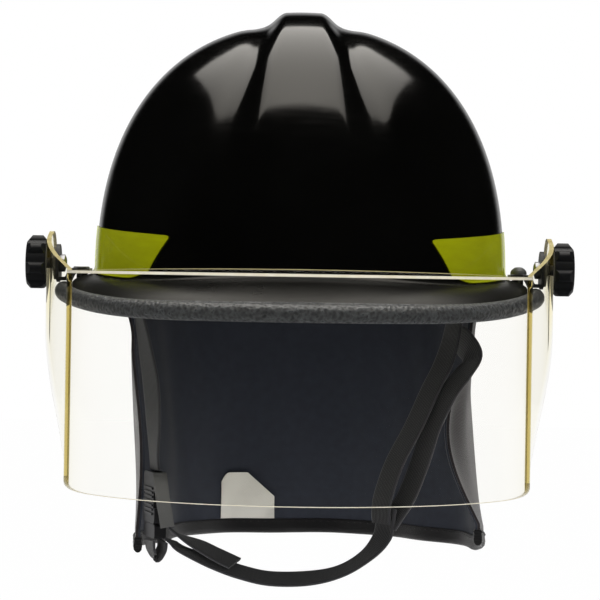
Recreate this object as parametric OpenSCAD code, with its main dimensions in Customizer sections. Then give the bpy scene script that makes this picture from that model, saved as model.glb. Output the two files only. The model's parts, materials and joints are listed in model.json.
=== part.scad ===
// Structural fire helmet: shell, shield, suspension, neck protector and chin strap.
// The front faces -Y, up is +Z, and the origin is the centre of the headband's lower edge.

/* [Shell] */
// Half width of the dome where it meets the brim
dome_half_w = 118.5; // [114:0.5:124]
// Distance from the origin to the dome's front
dome_front = 134; // [130:1:140]
// Distance from the origin to the dome's rear
dome_rear = 140; // [136:1:146]
// Height of the dome above the brim
dome_h = 147; // [141:1:152]
// Height of the brim's root above the headband's lower edge, at the sides
rim_side_z = 17; // [15:0.5:18]
// Height of the brim's root at the front
rim_front_z = 17; // [14:0.5:20]
// Height of the brim's root at the rear
rim_rear_z = 18; // [14:0.5:20]
// Roundness of the dome, 2 is an ellipse and more is squarer
dome_n = 2.3; // [2.1:0.05:2.5]
// Roundness of the dome's plan
plan_n = 2.1; // [2:0.05:2.3]
// Thickness of the composite wall
wall = 3; // [2.4:0.1:3.4]
// Radius of the fillet between dome and brim
fillet_r = 5; // [4:0.5:7]

/* [Ridge] */
// Height of the ridge over the crown
ridge_h = 6.6; // [5:0.2:9]
// Width of the ridge's flat top at the crown
ridge_flat_w = 18; // [14:1:26]
// Width of each sloping flank
ridge_flank_w = 13; // [9:1:18]
// Widening of each side of the ridge on its way down
ridge_spread = 20; // [8:1:26]
// Height at which the ridge has died away
ridge_low_z = 62; // [50:1:90]
// Depth of the valley beside the ridge
valley_d = 1; // [0:0.1:1.8]

/* [Brim] */
// Width of the brim at the sides
brim_side_w = 19; // [16:0.5:19.5]
// Reach of the brim's edge in front
brim_front = 168.5; // [164:0.5:170]
// Reach of the brim's edge at the rear
brim_rear = 181; // [176:1:186]
// Height of the brim's edge at the sides
edge_side_z = 7.5; // [5:0.5:9]
// Height of the brim's edge at the front
edge_front_z = -1.5; // [-4:0.5:2]
// Height of the brim's edge at the rear
edge_rear_z = -4; // [-8:0.5:0]
// How far the brim dips towards its corners
brim_dip = 3; // [0:0.5:5]
// How far the brim's top rises above a straight slope
brim_bulge = 2.6; // [1:0.2:3.4]
// Radius of the rubber bead on the edge
bead_r = 5; // [4:0.25:5.25]
// Depth of the bead's slot past its centre
bead_slot = 0.4; // [0.2:0.1:1]

/* [Patches] */
// Height of a patch's top edge above the headband's lower edge, at the sides
patch_top_z = 45; // [40:1:52]
// Thickness of the reflective sheet
patch_t = 0.6; // [0.3:0.1:1]

/* [Face shield] */
// Thickness of the clear sheet
sheet_t = 2.6; // [2:0.1:3]
// How far inside the brim's edge the shield's bends lie
shield_tuck = 10.6; // [8.5:0.1:12.5]
// Distance of the shield's middle in front of the origin
shield_front = 188; // [184:1:196]
// Distance of the bends in front of the origin
bend_front = 103; // [100:0.5:106]
// Height of the shield's top edge at the bends
shield_top_z = 19; // [17:0.5:21]
// Height of the shield's bottom edge
shield_low_z = -101; // [-112:0.5:-90]
// Height of the rolled lip on the top edge
lip_h = 4.2; // [2:0.2:6]
// Depth of the rolled lip at the middle
lip_d = 4.5; // [2:0.5:6]
// Radius of the ears
ear_r = 18.5; // [17:0.25:20]
// Distance of the shield's pivot in front of the origin
pivot_front = 12; // [9:0.5:15]
// Height of the shield's pivot
pivot_z = 23; // [22:0.25:25]
// How far the brackets' outer faces stand outside the brim's edge
bracket_out = 3.6; // [3.5:0.1:4.5]

/* [Shield hardware] */
// Thickness of the brackets' steel
steel_t = 2; // [1.5:0.1:2.2]
// Length of a bracket along the brim
bracket_len = 22; // [20:1:26]
// Radius of a pivot bolt's shank
bolt_r = 3; // [2.5:0.1:3.5]
// Running clearance between the bolts and what turns on them
bolt_gap = 0.07; // [0.04:0.01:0.09]
// Thickness of a friction washer
washer_t = 1.5; // [1:0.1:1.7]
// Radius of the knobs over their lobes
knob_r = 16; // [14:0.5:17]
// Thickness of a knob
knob_t = 11.2; // [9:0.2:14]
// Number of lobes on a knob
knob_lobes = 7; // [6:1:8]
// Radius of a bracket screw's shank
screw_r = 2; // [1.5:0.1:2.2]
// Radius of a bracket screw's head
screw_head_r = 4.2; // [3.6:0.1:4.6]

/* [Liner and cap] */
// Thickness of the impact liner
liner_t = 16; // [13:0.5:17]
// Thickness of the inner cap
cap_t = 2; // [1.5:0.1:2.4]
// Height of the liner's lower rim at the front and sides
liner_low_z = 18; // [17.5:0.25:20]
// Extra height of that rim over the nape
liner_nape_rise = 13; // [10:0.5:16]

/* [Headband] */
// Inner half width of the headband
head_half_w = 79; // [77:0.5:80]
// Inner reach of the headband in front
head_front = 101; // [99:0.5:102]
// Length of the headband's straight sides
head_side = 22; // [20:0.5:23]
// Thickness of the headband
band_t = 1.6; // [1.2:0.1:1.8]
// Height of the headband
band_h = 28; // [26:0.5:30]
// Thickness of the brow pad
brow_t = 5; // [3:0.5:6]

/* [Ratchet] */
// Height of the ratchet's centre
ratchet_z = 5; // [4:0.5:7]
// Height of the toothed nape arms
arm_h = 20; // [18:0.5:21]
// Radius of the ratchet knob
ratchet_knob_r = 13; // [11:0.5:13.5]

/* [Neck protector] */
// Height of the hem below the headband's lower edge, at the rear
hem_z = -136; // [-146:1:-120]
// Thickness of the outer cloth
cloth_t = 1.6; // [1:0.1:2]
// Thickness of the lining
lining_t = 1; // [0.6:0.1:1.4]
// Height of the hem binding
binding_h = 9; // [7:0.5:11]
// Depth of the cloth's folds at the hem
fold_d = 3; // [0:0.25:4]

/* [Straps] */
// Width of the webbing
web_w = 19; // [18:0.5:20]
// Thickness of the webbing
web_t = 1.6; // [1.2:0.1:1.8]
// Width of the buckle
buckle_w = 26; // [25:0.5:28]
// Thickness of the buckle
buckle_t = 7.5; // [7:0.25:8.5]

/* [Hidden] */
$fn = 48;

dome_top_z = rim_side_z + dome_h;
brim_half_w = dome_half_w + brim_side_w;
shield_half_w = brim_half_w - shield_tuck;
bracket_x = brim_half_w + bracket_out;
seat_gap = 0.4;
soft_gap = 0.3;
shell_cols = 84;
inner_cols = 48;
pinion_teeth = 10;
gear_m = 1;
nape_r = head_half_w;
arm_r = nape_r + band_t + 0.4;
arm_t = 2;
pitch_r = gear_m * pinion_teeth / 2;
ear_x = bracket_x + washer_t + 2 * bolt_gap;
knob_x = ear_x + sheet_t + washer_t + 2 * bolt_gap;

function lerp(a, b, t) = a + (b - a) * t;
function clamp01(t) = min(1, max(0, t));
function smooth(t) = let (c = clamp01(t)) c * c * (3 - 2 * c);
function unit(v) = v / norm(v);
function signed_power(v, e) = v < 0 ? -pow(-v, e) : pow(v, e);
function bezier(a, b, c, t) = lerp(lerp(a, b, t), lerp(b, c, t), t);
function reversed(list) = [for (i = [len(list) - 1 : -1 : 0]) list[i]];

// A rounded plan: angle 0 is the front, 90 the wearer's left as seen from the front (+X).
function plan(f, half_w, front, rear, n) = [
    half_w * signed_power(sin(f), 2 / n),
    -(cos(f) > 0 ? front : rear) * signed_power(cos(f), 2 / n)
];
function plan_normal(f, half_w, front, rear, n) =
    let (d = plan(f + 0.5, half_w, front, rear, n) - plan(f - 0.5, half_w, front, rear, n))
    unit([d[1], -d[0], 0]);
function round_height(f, side, front, rear) = side + ((cos(f) > 0 ? front : rear) - side) * pow(cos(f), 2);
function rim_z(f) = round_height(f, rim_side_z, rim_front_z, rim_rear_z) - brim_dip * pow(sin(2 * f), 2);
function edge_z(f) =
    lerp(edge_side_z, cos(f) > 0 ? edge_front_z : edge_rear_z, smooth(abs(cos(f)) / 0.9));
function liner_rim_z(f) = liner_low_z + liner_nape_rise * smooth((-cos(f) - 0.35) / 0.5);

// The root corner of the brim and the brim's edge, w below the outer surface.
function root(f, w) = concat(plan(f, dome_half_w - w, dome_front - w, dome_rear - w, plan_n), rim_z(f) - w);
edge_lean = [0.6, 0.8];
function edge(f, w) =
    let (u = wall / 2 - w)
    let (out = edge_lean[0] * u)
    concat(plan(f, brim_half_w + out, brim_front + out, brim_rear + out, 2), edge_z(f) + edge_lean[1] * u);
function brim(f, b, w) = lerp(edge(f, w), root(f, w), b) + [0, 0, 4 * brim_bulge * b * (1 - b)];

// The dome without its ridge: t runs from 0 at the root to 90 at the crown.
function bare_dome(f, t, w) =
    let (k = pow(cos(t), 2 / dome_n), z0 = rim_z(f) - w, p = root(f, w))
    [p[0] * k, p[1] * k, z0 + (dome_top_z - w - z0) * pow(sin(t), 2 / dome_n)];
function dome_t(f, z, w) =
    let (z0 = rim_z(f) - w)
    asin(pow(clamp01((z - z0) / (dome_top_z - w - z0)), dome_n / 2));
function ridge(x, z, w) =
    let (u = clamp01((z - ridge_low_z) / (dome_top_z - 8 - ridge_low_z)),
        flat = ridge_flat_w / 2 + ridge_spread * (1 - u),
        base = flat + ridge_flank_w * (1.6 - 0.6 * u),
        valley = exp(-pow((abs(x) - base - 5) / 6, 2)), rise = smooth((base - abs(x)) / (base - flat)))
    ridge_h * smooth(u * 1.25) * rise - (w > 0 ? 0 : valley_d * smooth(u) * valley);
function dome(f, t, w) =
    let (p = bare_dome(f, t, w),
        n = unit([p[0] / pow(dome_half_w, 2), p[1] / pow(dome_rear, 2), (p[2] - rim_side_z) / pow(dome_h, 2)]))
    p + n * ridge(p[0], p[2], w);

// The upper surface of fillet and dome: s runs from -1 at the brim through 0 to 1 at the crown.
fillet_t = asin(pow(fillet_r / dome_h, dome_n / 2));
function shell_surface(f, s, w) = s >= 0 ? dome(f, lerp(fillet_t, 90, s), w) :
    let (span = norm(root(f, w) - edge(f, w)))
    bezier(brim(f, 1 - fillet_r / span, w), root(f, w) + [0, 0, 0.8], dome(f, fillet_t, w), 1 + s);
function shell_normal(f, s) =
    unit(cross(shell_surface(f + 0.5, s, 0) - shell_surface(f - 0.5, s, 0),
        shell_surface(f, s + 0.004, 0) - shell_surface(f, s - 0.004, 0)));

// A skin over rings of equally many points. Each ring runs along one face and back along the other.
// Its ends are closed between the two faces, to a tip, or joined in a loop.
module skin(rings, loop = false, tip_a = undef, tip_b = undef) {
    n = len(rings);
    m = len(rings[0]);
    pts = [for (r = rings) each r];
    flat_ends = is_undef(tip_a) && !loop;
    tips = [each is_undef(tip_a) ? [] : [tip_a], each is_undef(tip_b) ? [] : [tip_b]];
    sides = [
        for (i = [0 : n - (loop ? 1 : 2)])
            for (j = [0 : m - 1])
                let (a = i * m + j, b = i * m + (j + 1) % m, c = ((i + 1) % n) * m + (j + 1) % m,
                    d = ((i + 1) % n) * m + j)
                each !flat_ends || j < m / 2 ? [[c, b, a], [d, c, a]] : [[d, b, a], [d, c, b]]
    ];
    half = m / 2 - 2;
    start = loop ? [] : is_undef(tip_a) ?
        [for (j = [0 : half]) each [[j, j + 1, m - 2 - j], [j, m - 2 - j, m - 1 - j]]] :
        [for (j = [0 : m - 1]) [j, (j + 1) % m, n * m]];
    last = (n - 1) * m;
    end = loop ? [] : is_undef(tip_b) ?
        [for (j = [0 : half])
            each [[last + m - 2 - j, last + j + 1, last + j], [last + m - 1 - j, last + m - 2 - j, last + j]]] :
        [for (j = [0 : m - 1]) [last + (j + 1) % m, last + j, n * m + (is_undef(tip_a) ? 0 : 1)]];
    polyhedron(concat(pts, tips), concat(sides, start, end), convexity = 8);
}

// Webbing: a flat strip along a smooth route. Each stop is [point, direction of the width].
function spline(a, b, c, d, t) =
    0.5 * (2 * b + (c - a) * t + (2 * a - 5 * b + 4 * c - d) * t * t + (3 * b - a - 3 * c + d) * t * t * t);
function route(stops, item, steps) =
    let (n = len(stops), at = function(i) stops[min(n - 1, max(0, i))][item])
    [
        for (i = [0 : n - 2])
            for (k = [0 : steps - 1]) spline(at(i - 1), at(i), at(i + 1), at(i + 2), k / steps),
        at(n - 1)
    ];
module webbing(stops, width = web_w, thick = web_t, steps = 3) {
    points = route(stops, 0, steps);
    widths = route(stops, 1, steps);
    n = len(points);
    skin([
        for (i = [0 : n - 1])
            let (along = unit(points[min(n - 1, i + 1)] - points[max(0, i - 1)]),
                side = unit(widths[i] - (widths[i] * along) * along),
                up = cross(along, side), a = side * width / 2, b = up * thick / 2)
            [points[i] + a + b, points[i] - a + b, points[i] - a - b, points[i] + a - b]
    ]);
}

module rounded_plate(w, h, r) {
    square([w - 2 * r, h], center = true);
    square([w, h - 2 * r], center = true);
    for (x = [-1, 1]) for (y = [-1, 1]) translate([x * (w / 2 - r), y * (h / 2 - r)]) circle(r);
}

// One side's hardware is drawn for +X and mirrored for -X.
module side(s) { if (s > 0) children(); else mirror([1, 0, 0]) children(); }
module at_pivot(x) { translate([x, -pivot_front, pivot_z]) rotate([0, 90, 0]) children(); }

screw_x = dome_half_w + 8.3;
screw_pitch = 13;
screw_stations = [-pivot_front - screw_pitch / 2, -pivot_front + screw_pitch / 2];
foot_top_z = 20.3;
foot_in_x = dome_half_w + 2.9;
brim_under_z = 13;

module outer_shell() {
    brim_stops = [0, 0.12, 0.3, 0.52];
    inner_stops = [0, 0.25, 0.52];
    outer_s = [-1, -0.66, -0.33, 0, 0.05, for (s = [0.12 : 0.08 : 0.85]) s, 0.91, 0.965];
    inner_s = [0.95, 0.86, 0.75, 0.64, 0.52, 0.4, 0.28, 0.16, 0.06, 0, -1];
    columns = [for (i = [0 : shell_cols - 1]) 360 * i / shell_cols];
    color([0.02, 0.02, 0.02])
    difference() {
        skin([
            for (s = inner_s) [for (f = columns) shell_surface(f, s, wall)],
            for (i = [len(inner_stops) - 1 : -1 : 0]) [for (f = columns) brim(f, inner_stops[i], wall)],
            for (b = brim_stops) [for (f = columns) brim(f, b, 0)],
            for (s = outer_s) [for (f = columns) shell_surface(f, s, 0)]
        ], tip_a = dome(0, 90, wall), tip_b = dome(0, 90, 0));
        for (x = [-screw_x, screw_x]) for (y = screw_stations)
            translate([x, y, brim_under_z - 8]) cylinder(r = screw_r + 0.3, h = 20);
    }
}

module edge_trim() {
    gap = 0.16;
    arc_n = 8;
    lip = [0.17, 0.09];
    color([0.25, 0.26, 0.27])
    skin([
        for (i = [0 : shell_cols - 1])
            let (f = 360 * i / shell_cols, c = edge(f, wall / 2), inward = brim(f, 0.12, wall / 2),
                out = unit(c - inward), up = unit([0, 0, 1] - out[2] * out))
            concat(
                [for (k = [0 : arc_n])
                    let (a = 155 - 310 * k / arc_n)
                    c + bead_r * cos(a) * out + bead_r * sin(a) * up],
                [for (b = lip) brim(f, b, wall + gap)],
                [for (w = [wall + gap, -gap]) edge(f, w) + bead_slot * out],
                [for (k = [1, 0]) brim(f, lip[k], -gap)])
    ], loop = true);
}

// A moulded dome between two depths under the outer surface, open below at the liner's rim.
module inner_dome(w_out, w_in, cols) {
    steps = [0, 0.12, 0.25, 0.39, 0.53, 0.67, 0.81, 0.93];
    columns = [for (i = [0 : cols - 1]) 360 * i / cols];
    row = function(k, w) [for (f = columns) bare_dome(f, lerp(dome_t(f, liner_rim_z(f), w), 90, k), w)];
    skin(concat([for (i = [len(steps) - 1 : -1 : 0]) row(steps[i], w_in)], [for (k = steps) row(k, w_out)]),
        tip_a = bare_dome(0, 90, w_in), tip_b = bare_dome(0, 90, w_out));
}

liner_w = wall + 1.5 * seat_gap;
cap_w = liner_w + liner_t + 1.5 * seat_gap;
cap_inner_w = cap_w + cap_t;
module impact_liner() { color([0.16, 0.15, 0.13]) inner_dome(liner_w, liner_w + liner_t, inner_cols); }
module inner_cap() { color([0.1, 0.1, 0.1]) inner_dome(cap_w, cap_inner_w, inner_cols); }

// Points on the cap's inner face at a height, set in from it.
function cap_face(f, z, inset) =
    let (p = bare_dome(f, dome_t(f, z, cap_inner_w), cap_inner_w), n = cap_normal(f))
    p - inset * n;
function cap_normal(f) =
    plan_normal(f, dome_half_w - cap_inner_w, dome_front - cap_inner_w, dome_rear - cap_inner_w, plan_n);
function across(n) = [-n[1], n[0], 0];
function band_plan(f, out) =
    let (c = cos(f), s = sin(f), r = head_half_w + out)
    c > 0 ? [r * s, -(head_front + out) * c] : [r * s, head_side - r * c];

// The suspension hangs from keys at six stations round the cap. Each runs down the cap and in to the headband.
key_stations = [[42, 42], [90, 88], [110, 98], [250, 262], [270, 272], [318, 318]];
key_t = 2.2;
key_w = 13;
key_inset = 2.5;
function key_low_z(f) = liner_rim_z(f) + 3;
strap_rise = 10;
strap_inset = key_inset + key_t / 2 + web_t / 2 + 2 * seat_gap;
strap_low_z = key_low_z(90) + strap_rise;
crown_drop = 19.8;
crown_z = dome_top_z - cap_inner_w - crown_drop;

module suspension_keys() {
    color([0.12, 0.12, 0.12])
    for (station = key_stations)
        let (f = station[0], g = station[1], n = cap_normal(f), low = key_low_z(f),
            hold = cap_face(f, low + 1, key_inset),
            along = unit(concat(band_plan(g + 2, 0) - band_plan(g - 2, 0), 0)),
            on_band = function(gap, z) concat(band_plan(g, band_t + key_t / 2 + gap), z),
            z = cos(g) < -0.1 ? 8 : 16)
        webbing([[cap_face(f, low + 20, key_inset), across(n)], [cap_face(f, low + 8, key_inset), across(n)],
            [hold, across(n)], [lerp(hold, on_band(0, z + 10), 0.5), across(n)], [on_band(1.2, z + 5), along],
            [on_band(0.3, z), along], [on_band(0.3, z - 6), along]], key_w, key_t, steps = 2);
}

module crown_strap(f, layer) {
    za = key_low_z(f) + strap_rise;
    zb = key_low_z(f + 180) + strap_rise;
    a = cap_face(f, za, strap_inset);
    b = cap_face(f + 180, zb, strap_inset);
    middle = (a + b) / 2;
    half = (a - b) / 2;
    top = crown_z + layer * (web_t + 0.8);
    color([0.09, 0.09, 0.1])
    webbing([
        for (t = [0 : 15 : 180])
            let (c = cos(t), low = lerp(zb, za, (1 + c) / 2),
                end = c > 0 ? across(cap_normal(f)) : -across(cap_normal(f + 180)))
            [[middle[0] + half[0] * c, middle[1] + half[1] * c, low + (top - low) * sin(t)],
            lerp(across(unit(half)), end, pow(c, 4))]
    ], steps = 2);
}
module crown_strap_side() { crown_strap(90, 0); }
module crown_strap_left() { crown_strap(222, 1); }
module crown_strap_right() { crown_strap(138, 2); }

module crown_pad() {
    pad_r = 34;
    strap_under = crown_z - web_t / 2 - soft_gap;
    reach = dome_half_w - cap_inner_w - 5;
    fall = function(r) strap_under - (strap_under - strap_low_z) * (1 - sin(acos(r / reach))) - 0.4;
    color([0.13, 0.13, 0.14])
    rotate_extrude()
    polygon([
        for (r = [0, 12, 22, 30]) [r, fall(r)],
        [pad_r, fall(pad_r) - 2],
        for (r = [30, 18, 0]) [r, fall(r) - 5]
    ]);
}

// The headband: half an ellipse in front, straight sides and arcs round the nape.
arc_end = 44;
keeper = [53, 58];
module nape_ring(r0, r1, z0, z1, a0, a1) {
    translate([0, head_side, z0]) rotate([0, 0, 90 - a1])
    rotate_extrude(angle = a1 - a0, $fn = 144) translate([r0, 0]) square([r1 - r0, z1 - z0]);
}
function nape_arc(r) = [for (a = [arc_end : 2 : 90]) [r * sin(a), head_side + r * cos(a)]];
module headband() {
    front = [for (f = [-90 : 4 : 90]) f];
    color([0.1, 0.1, 0.11]) {
        linear_extrude(band_h)
        polygon(concat([for (f = front) band_plan(f, band_t)], [[head_half_w + band_t, head_side]],
            [[head_half_w, head_side]], [for (i = [len(front) - 1 : -1 : 0]) band_plan(front[i], 0)],
            [[-head_half_w, head_side]], [[-head_half_w - band_t, head_side]]));
        for (s = [-1, 1]) side(s) {
            translate([0, 0, ratchet_z - arm_h / 2])
            linear_extrude(arm_h)
            polygon(concat(nape_arc(nape_r + band_t - 0.05),
                [for (p = [band_t - 0.05, 0.05]) [nape_r + p, head_side - 4]],
                reversed(nape_arc(nape_r + 0.05))));
            difference() {
                nape_ring(nape_r + band_t - 0.3, arm_r + arm_t + 2, ratchet_z - arm_h / 2 - 2,
                    ratchet_z + arm_h / 2 + 2, keeper[0], keeper[1]);
                nape_ring(nape_r + band_t + 0.1, arm_r + arm_t + 0.4, ratchet_z - arm_h / 2 - 0.4,
                    ratchet_z + arm_h / 2 + 0.4, keeper[0] - 1, keeper[1] + 1);
            }
        }
    }
}

module brow_pad() {
    angles = [for (f = [-62 : 4 : 62]) f];
    color([0.05, 0.05, 0.05])
    translate([0, 0, -1])
    linear_extrude(band_h + 2)
    polygon(concat([for (f = angles) band_plan(f, -soft_gap)],
        [for (i = [len(angles) - 1 : -1 : 0])
            let (taper = clamp01((62 - abs(angles[i])) / 10))
            band_plan(angles[i], -soft_gap - 1 - (brow_t - 1) * smooth(taper))]));
}

// The ratchet: two arms pass each other above and below the pinion, between housing and cover.
housing_half_a = 17;
cover_t = 1.6;
housing_gap = 0.3;
housing_out_r = arm_r + arm_t + housing_gap + 3.4;
cover_in_r = arm_r - housing_gap - cover_t;
housing_h = arm_h + 10;
arm_inner_end = 15;
arm_full_start = 37;
arm_outer_end = 64;
shaft_r = 3;
nape_y = head_side + arm_r + arm_t / 2;

module at_nape(y) { translate([0, y, ratchet_z]) rotate([-90, 0, 0]) children(); }

module ratchet_housing() {
    color([0.08, 0.08, 0.08])
    difference() {
        nape_ring(cover_in_r + cover_t, housing_out_r, ratchet_z - housing_h / 2, ratchet_z + housing_h / 2,
            -housing_half_a, housing_half_a);
        nape_ring(arm_r - housing_gap - 1, arm_r + arm_t + housing_gap, ratchet_z - arm_h / 2 - housing_gap,
            ratchet_z + arm_h / 2 + housing_gap, -housing_half_a - 1, housing_half_a + 1);
        at_nape(head_side + arm_r) cylinder(r = shaft_r + 0.06, h = 20);
    }
}
module ratchet_cover() {
    color([0.09, 0.09, 0.09])
    nape_ring(cover_in_r - 0.05, cover_in_r + cover_t - 0.05, ratchet_z - housing_h / 2,
        ratchet_z + housing_h / 2, -housing_half_a, housing_half_a);
}
knob_y = head_side + housing_out_r + 0.3;
module ratchet_knob() {
    knurls = 18;
    color([0.12, 0.12, 0.12]) {
        at_nape(knob_y) difference() {
            intersection() {
                linear_extrude(9) {
                    circle(ratchet_knob_r - 0.8);
                    for (i = [0 : knurls - 1])
                        rotate(i * 360 / knurls) translate([ratchet_knob_r - 1, 0]) circle(1, $fn = 16);
                }
                rotate_extrude() polygon([[0, -1], [ratchet_knob_r - 0.8, -1], [ratchet_knob_r + 0.2, 1.2],
                    [ratchet_knob_r + 0.2, 6.6], [ratchet_knob_r - 2, 9.5], [0, 9.5]]);
            }
            translate([0, 0, 8]) cylinder(r = ratchet_knob_r - 5, h = 2);
        }
        at_nape(nape_y + arm_t / 2 + 0.1) cylinder(r = shaft_r, h = knob_y - nape_y - arm_t / 2 + 0.4);
    }
}

// Teeth are straight-sided: root and tip widths come from the module with a little backlash.
pitch = PI * gear_m;
tooth_add = 0.8 * gear_m;
tooth_ded = 1.1 * gear_m;
rack_root_half = pitch * 0.335;
rack_tip_half = pitch * 0.135;
tooth_root_half = pitch * 0.33;
tooth_tip_half = pitch * 0.11;
module ratchet_pinion() {
    color([0.6, 0.6, 0.58])
    at_nape(nape_y - arm_t / 2)
    linear_extrude(arm_t) {
        circle(pitch_r - tooth_ded);
        for (i = [0 : pinion_teeth - 1])
            rotate(360 * (i + 0.5) / pinion_teeth)
            polygon([[pitch_r - tooth_ded - 0.5, -tooth_root_half], [pitch_r + tooth_add, -tooth_tip_half],
                [pitch_r + tooth_add, tooth_tip_half], [pitch_r - tooth_ded - 0.5, tooth_root_half]]);
    }
}

// An arm's rack side is +1 with teeth facing up from below the pinion, -1 with teeth facing down.
rack_step = pitch / (arm_r + arm_t / 2) * 180 / PI;
module nape_arm(rack_side, lean) {
    half = arm_h / 2;
    z_teeth = ratchet_z - rack_side * (pitch_r + tooth_ded);
    z_far = ratchet_z + rack_side * (half + 1);
    teeth = floor((arm_inner_end - 1) / rack_step);
    skin_in = 0.15;
    color([0.14, 0.14, 0.15]) {
        difference() {
            nape_ring(arm_r, arm_r + arm_t, ratchet_z - half, ratchet_z + half, -arm_inner_end, arm_outer_end);
            nape_ring(arm_r - 1, arm_r + arm_t + 1, min(z_teeth, z_far), max(z_teeth, z_far),
                -arm_inner_end - 1, arm_full_start);
        }
        for (i = [-teeth : teeth])
            translate([0, head_side, 0])
            rotate([0, 0, -(i + lean) * rack_step])
            translate([0, arm_r + arm_t - skin_in, z_teeth])
            rotate([90, 0, 0])
            linear_extrude(arm_t - 2 * skin_in)
            polygon([[-rack_root_half, -rack_side * 0.3], [rack_root_half, -rack_side * 0.3],
                [rack_tip_half, rack_side * (tooth_add + tooth_ded)],
                [-rack_tip_half, rack_side * (tooth_add + tooth_ded)]]);
    }
}
module nape_arm_right() { nape_arm(-1, 0.5); }
module nape_arm_left() { mirror([1, 0, 0]) nape_arm(1, 0.5); }

module nape_pad() {
    color([0.06, 0.06, 0.06])
    nape_ring(cover_in_r - 5, cover_in_r - soft_gap, ratchet_z - housing_h / 2 - 2,
        ratchet_z + housing_h / 2 + 2, -housing_half_a - 8, housing_half_a + 8);
}

// A patch: top and bottom edges run between angles that slant its ends.
module patch(f_low, f_high, slant) {
    cols = 12;
    rows = 4;
    inside = 0.4;
    point = function(u, v, lift)
        let (f0 = lerp(f_low + slant, f_low, v), f1 = lerp(f_high - slant, f_high, v), f = lerp(f0, f1, u),
            top = min(patch_top_z, 38.5 + (patch_top_z - 38.5) * (f - f_low) / 50),
            s_top = (dome_t(f, top, 0) - fillet_t) / (90 - fillet_t),
            s = v < 0.5 ? lerp(-0.65, 0, v * 2) : lerp(0, s_top, v * 2 - 1))
        shell_surface(f, s, 0) + lift * shell_normal(f, s);
    color([0.62, 0.66, 0.02])
    skin([
        for (i = [0 : cols])
            concat([for (j = [rows : -1 : 0]) point(i / cols, j / rows, inside + patch_t)],
                [for (j = [0 : rows]) point(i / cols, j / rows, inside)])
    ]);
}
module patch_front_right() { patch(35.5, 101, 15); }
module patch_front_left() { mirror([1, 0, 0]) patch(35.5, 101, 15); }
module patch_rear_right() { patch(118, 166, 9); }
module patch_rear_left() { mirror([1, 0, 0]) patch(118, 166, 9); }

// The shield's plan, right half, from the ear to the middle: ear, flare, bend and front.
function shield_half() = let (x = ear_x + sheet_t, bend_x = shield_half_w) concat(
    [[x, 12], [x, -4], [x, -22]],
    [for (i = [1 : 4]) bezier([x, -26], [x, -44], [x - 8.1, -70], i / 4)],
    [for (i = [0 : 3]) bezier([bend_x + 2.1, -93], [bend_x, -98], [bend_x, -bend_front], i / 3)],
    [for (i = [1 : 14])
        [shield_half_w * cos(90 * i / 14), -bend_front - (shield_front - bend_front) * sin(90 * i / 14)]]
);
module face_shield() {
    half = shield_half();
    n = len(half);
    line = concat(half, [for (i = [n - 2 : -1 : 0]) [-half[i][0], half[i][1]]]);
    count = len(line);
    normal = function(i)
        let (d = line[min(count - 1, i + 1)] - line[max(0, i - 1)]) unit([-d[1], d[0]]);
    lip_rows = [[0, 0], [0.35, 0.07], [0.65, 0.25], [0.87, 0.56], [1, 1]];
    ring = function(i, inset)
        let (p = line[i], q = normal(i), front = p[1] <= -bend_front + 0.01,
            share = front ? max(0.03, 1 - pow(p[0] / shield_half_w, 2)) : 0)
        [
            [p[0] - q[0] * inset, p[1] - q[1] * inset, shield_low_z - 6],
            for (r = lip_rows)
                let (in = inset + lip_d * share * r[1], ear_z = lerp(shield_top_z, pivot_z + ear_r + 2, r[0]))
                [p[0] - q[0] * in, p[1] - q[1] * in, front ? shield_top_z + lip_h * share * r[0] : ear_z]
        ];
    color([0.93, 0.88, 0.62, 0.35])
    difference() {
        intersection() {
            skin([for (i = [0 : count - 1])
                let (outer = ring(i, 0), inner = ring(i, sheet_t))
                concat(outer, reversed(inner))]);
            shield_profile();
        }
        at_pivot(-200) cylinder(r = bolt_r + bolt_gap, h = 400);
    }
}

// The shield's outline from the side: ear, sloping top edge, curved rear edge and rounded lower corner.
module shield_profile() {
    top_a = [-bend_front + 3, shield_top_z + 0.3];
    reach = [-pivot_front, pivot_z] - top_a;
    lean = atan2(reach[1], reach[0]) + asin(ear_r / norm(reach));
    ear = [for (a = [90 + lean : -8 : -50]) [-pivot_front + ear_r * cos(a), pivot_z + ear_r * sin(a)]];
    tail = ear[len(ear) - 1];
    corner = [-bend_front + 4, shield_low_z + 13];
    rear = [for (i = [1 : 9]) bezier(tail, [-58, -26], corner, i / 9)];
    base = [for (i = [1 : 8])
        bezier(corner, [corner[0] - 3, shield_low_z + 2.6], [-shield_front + 40, shield_low_z + 1.6], i / 8)];
    translate([-180, 0, 0])
    rotate([90, 0, 90])
    linear_extrude(360)
    polygon(concat([[-bend_front - 0.05, shield_top_z + 20], [-bend_front - 0.05, shield_top_z + 0.2], top_a],
        ear, rear, base,
        [[-shield_front - 12, shield_low_z], [-shield_front - 12, shield_top_z + 20]]));
}

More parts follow.
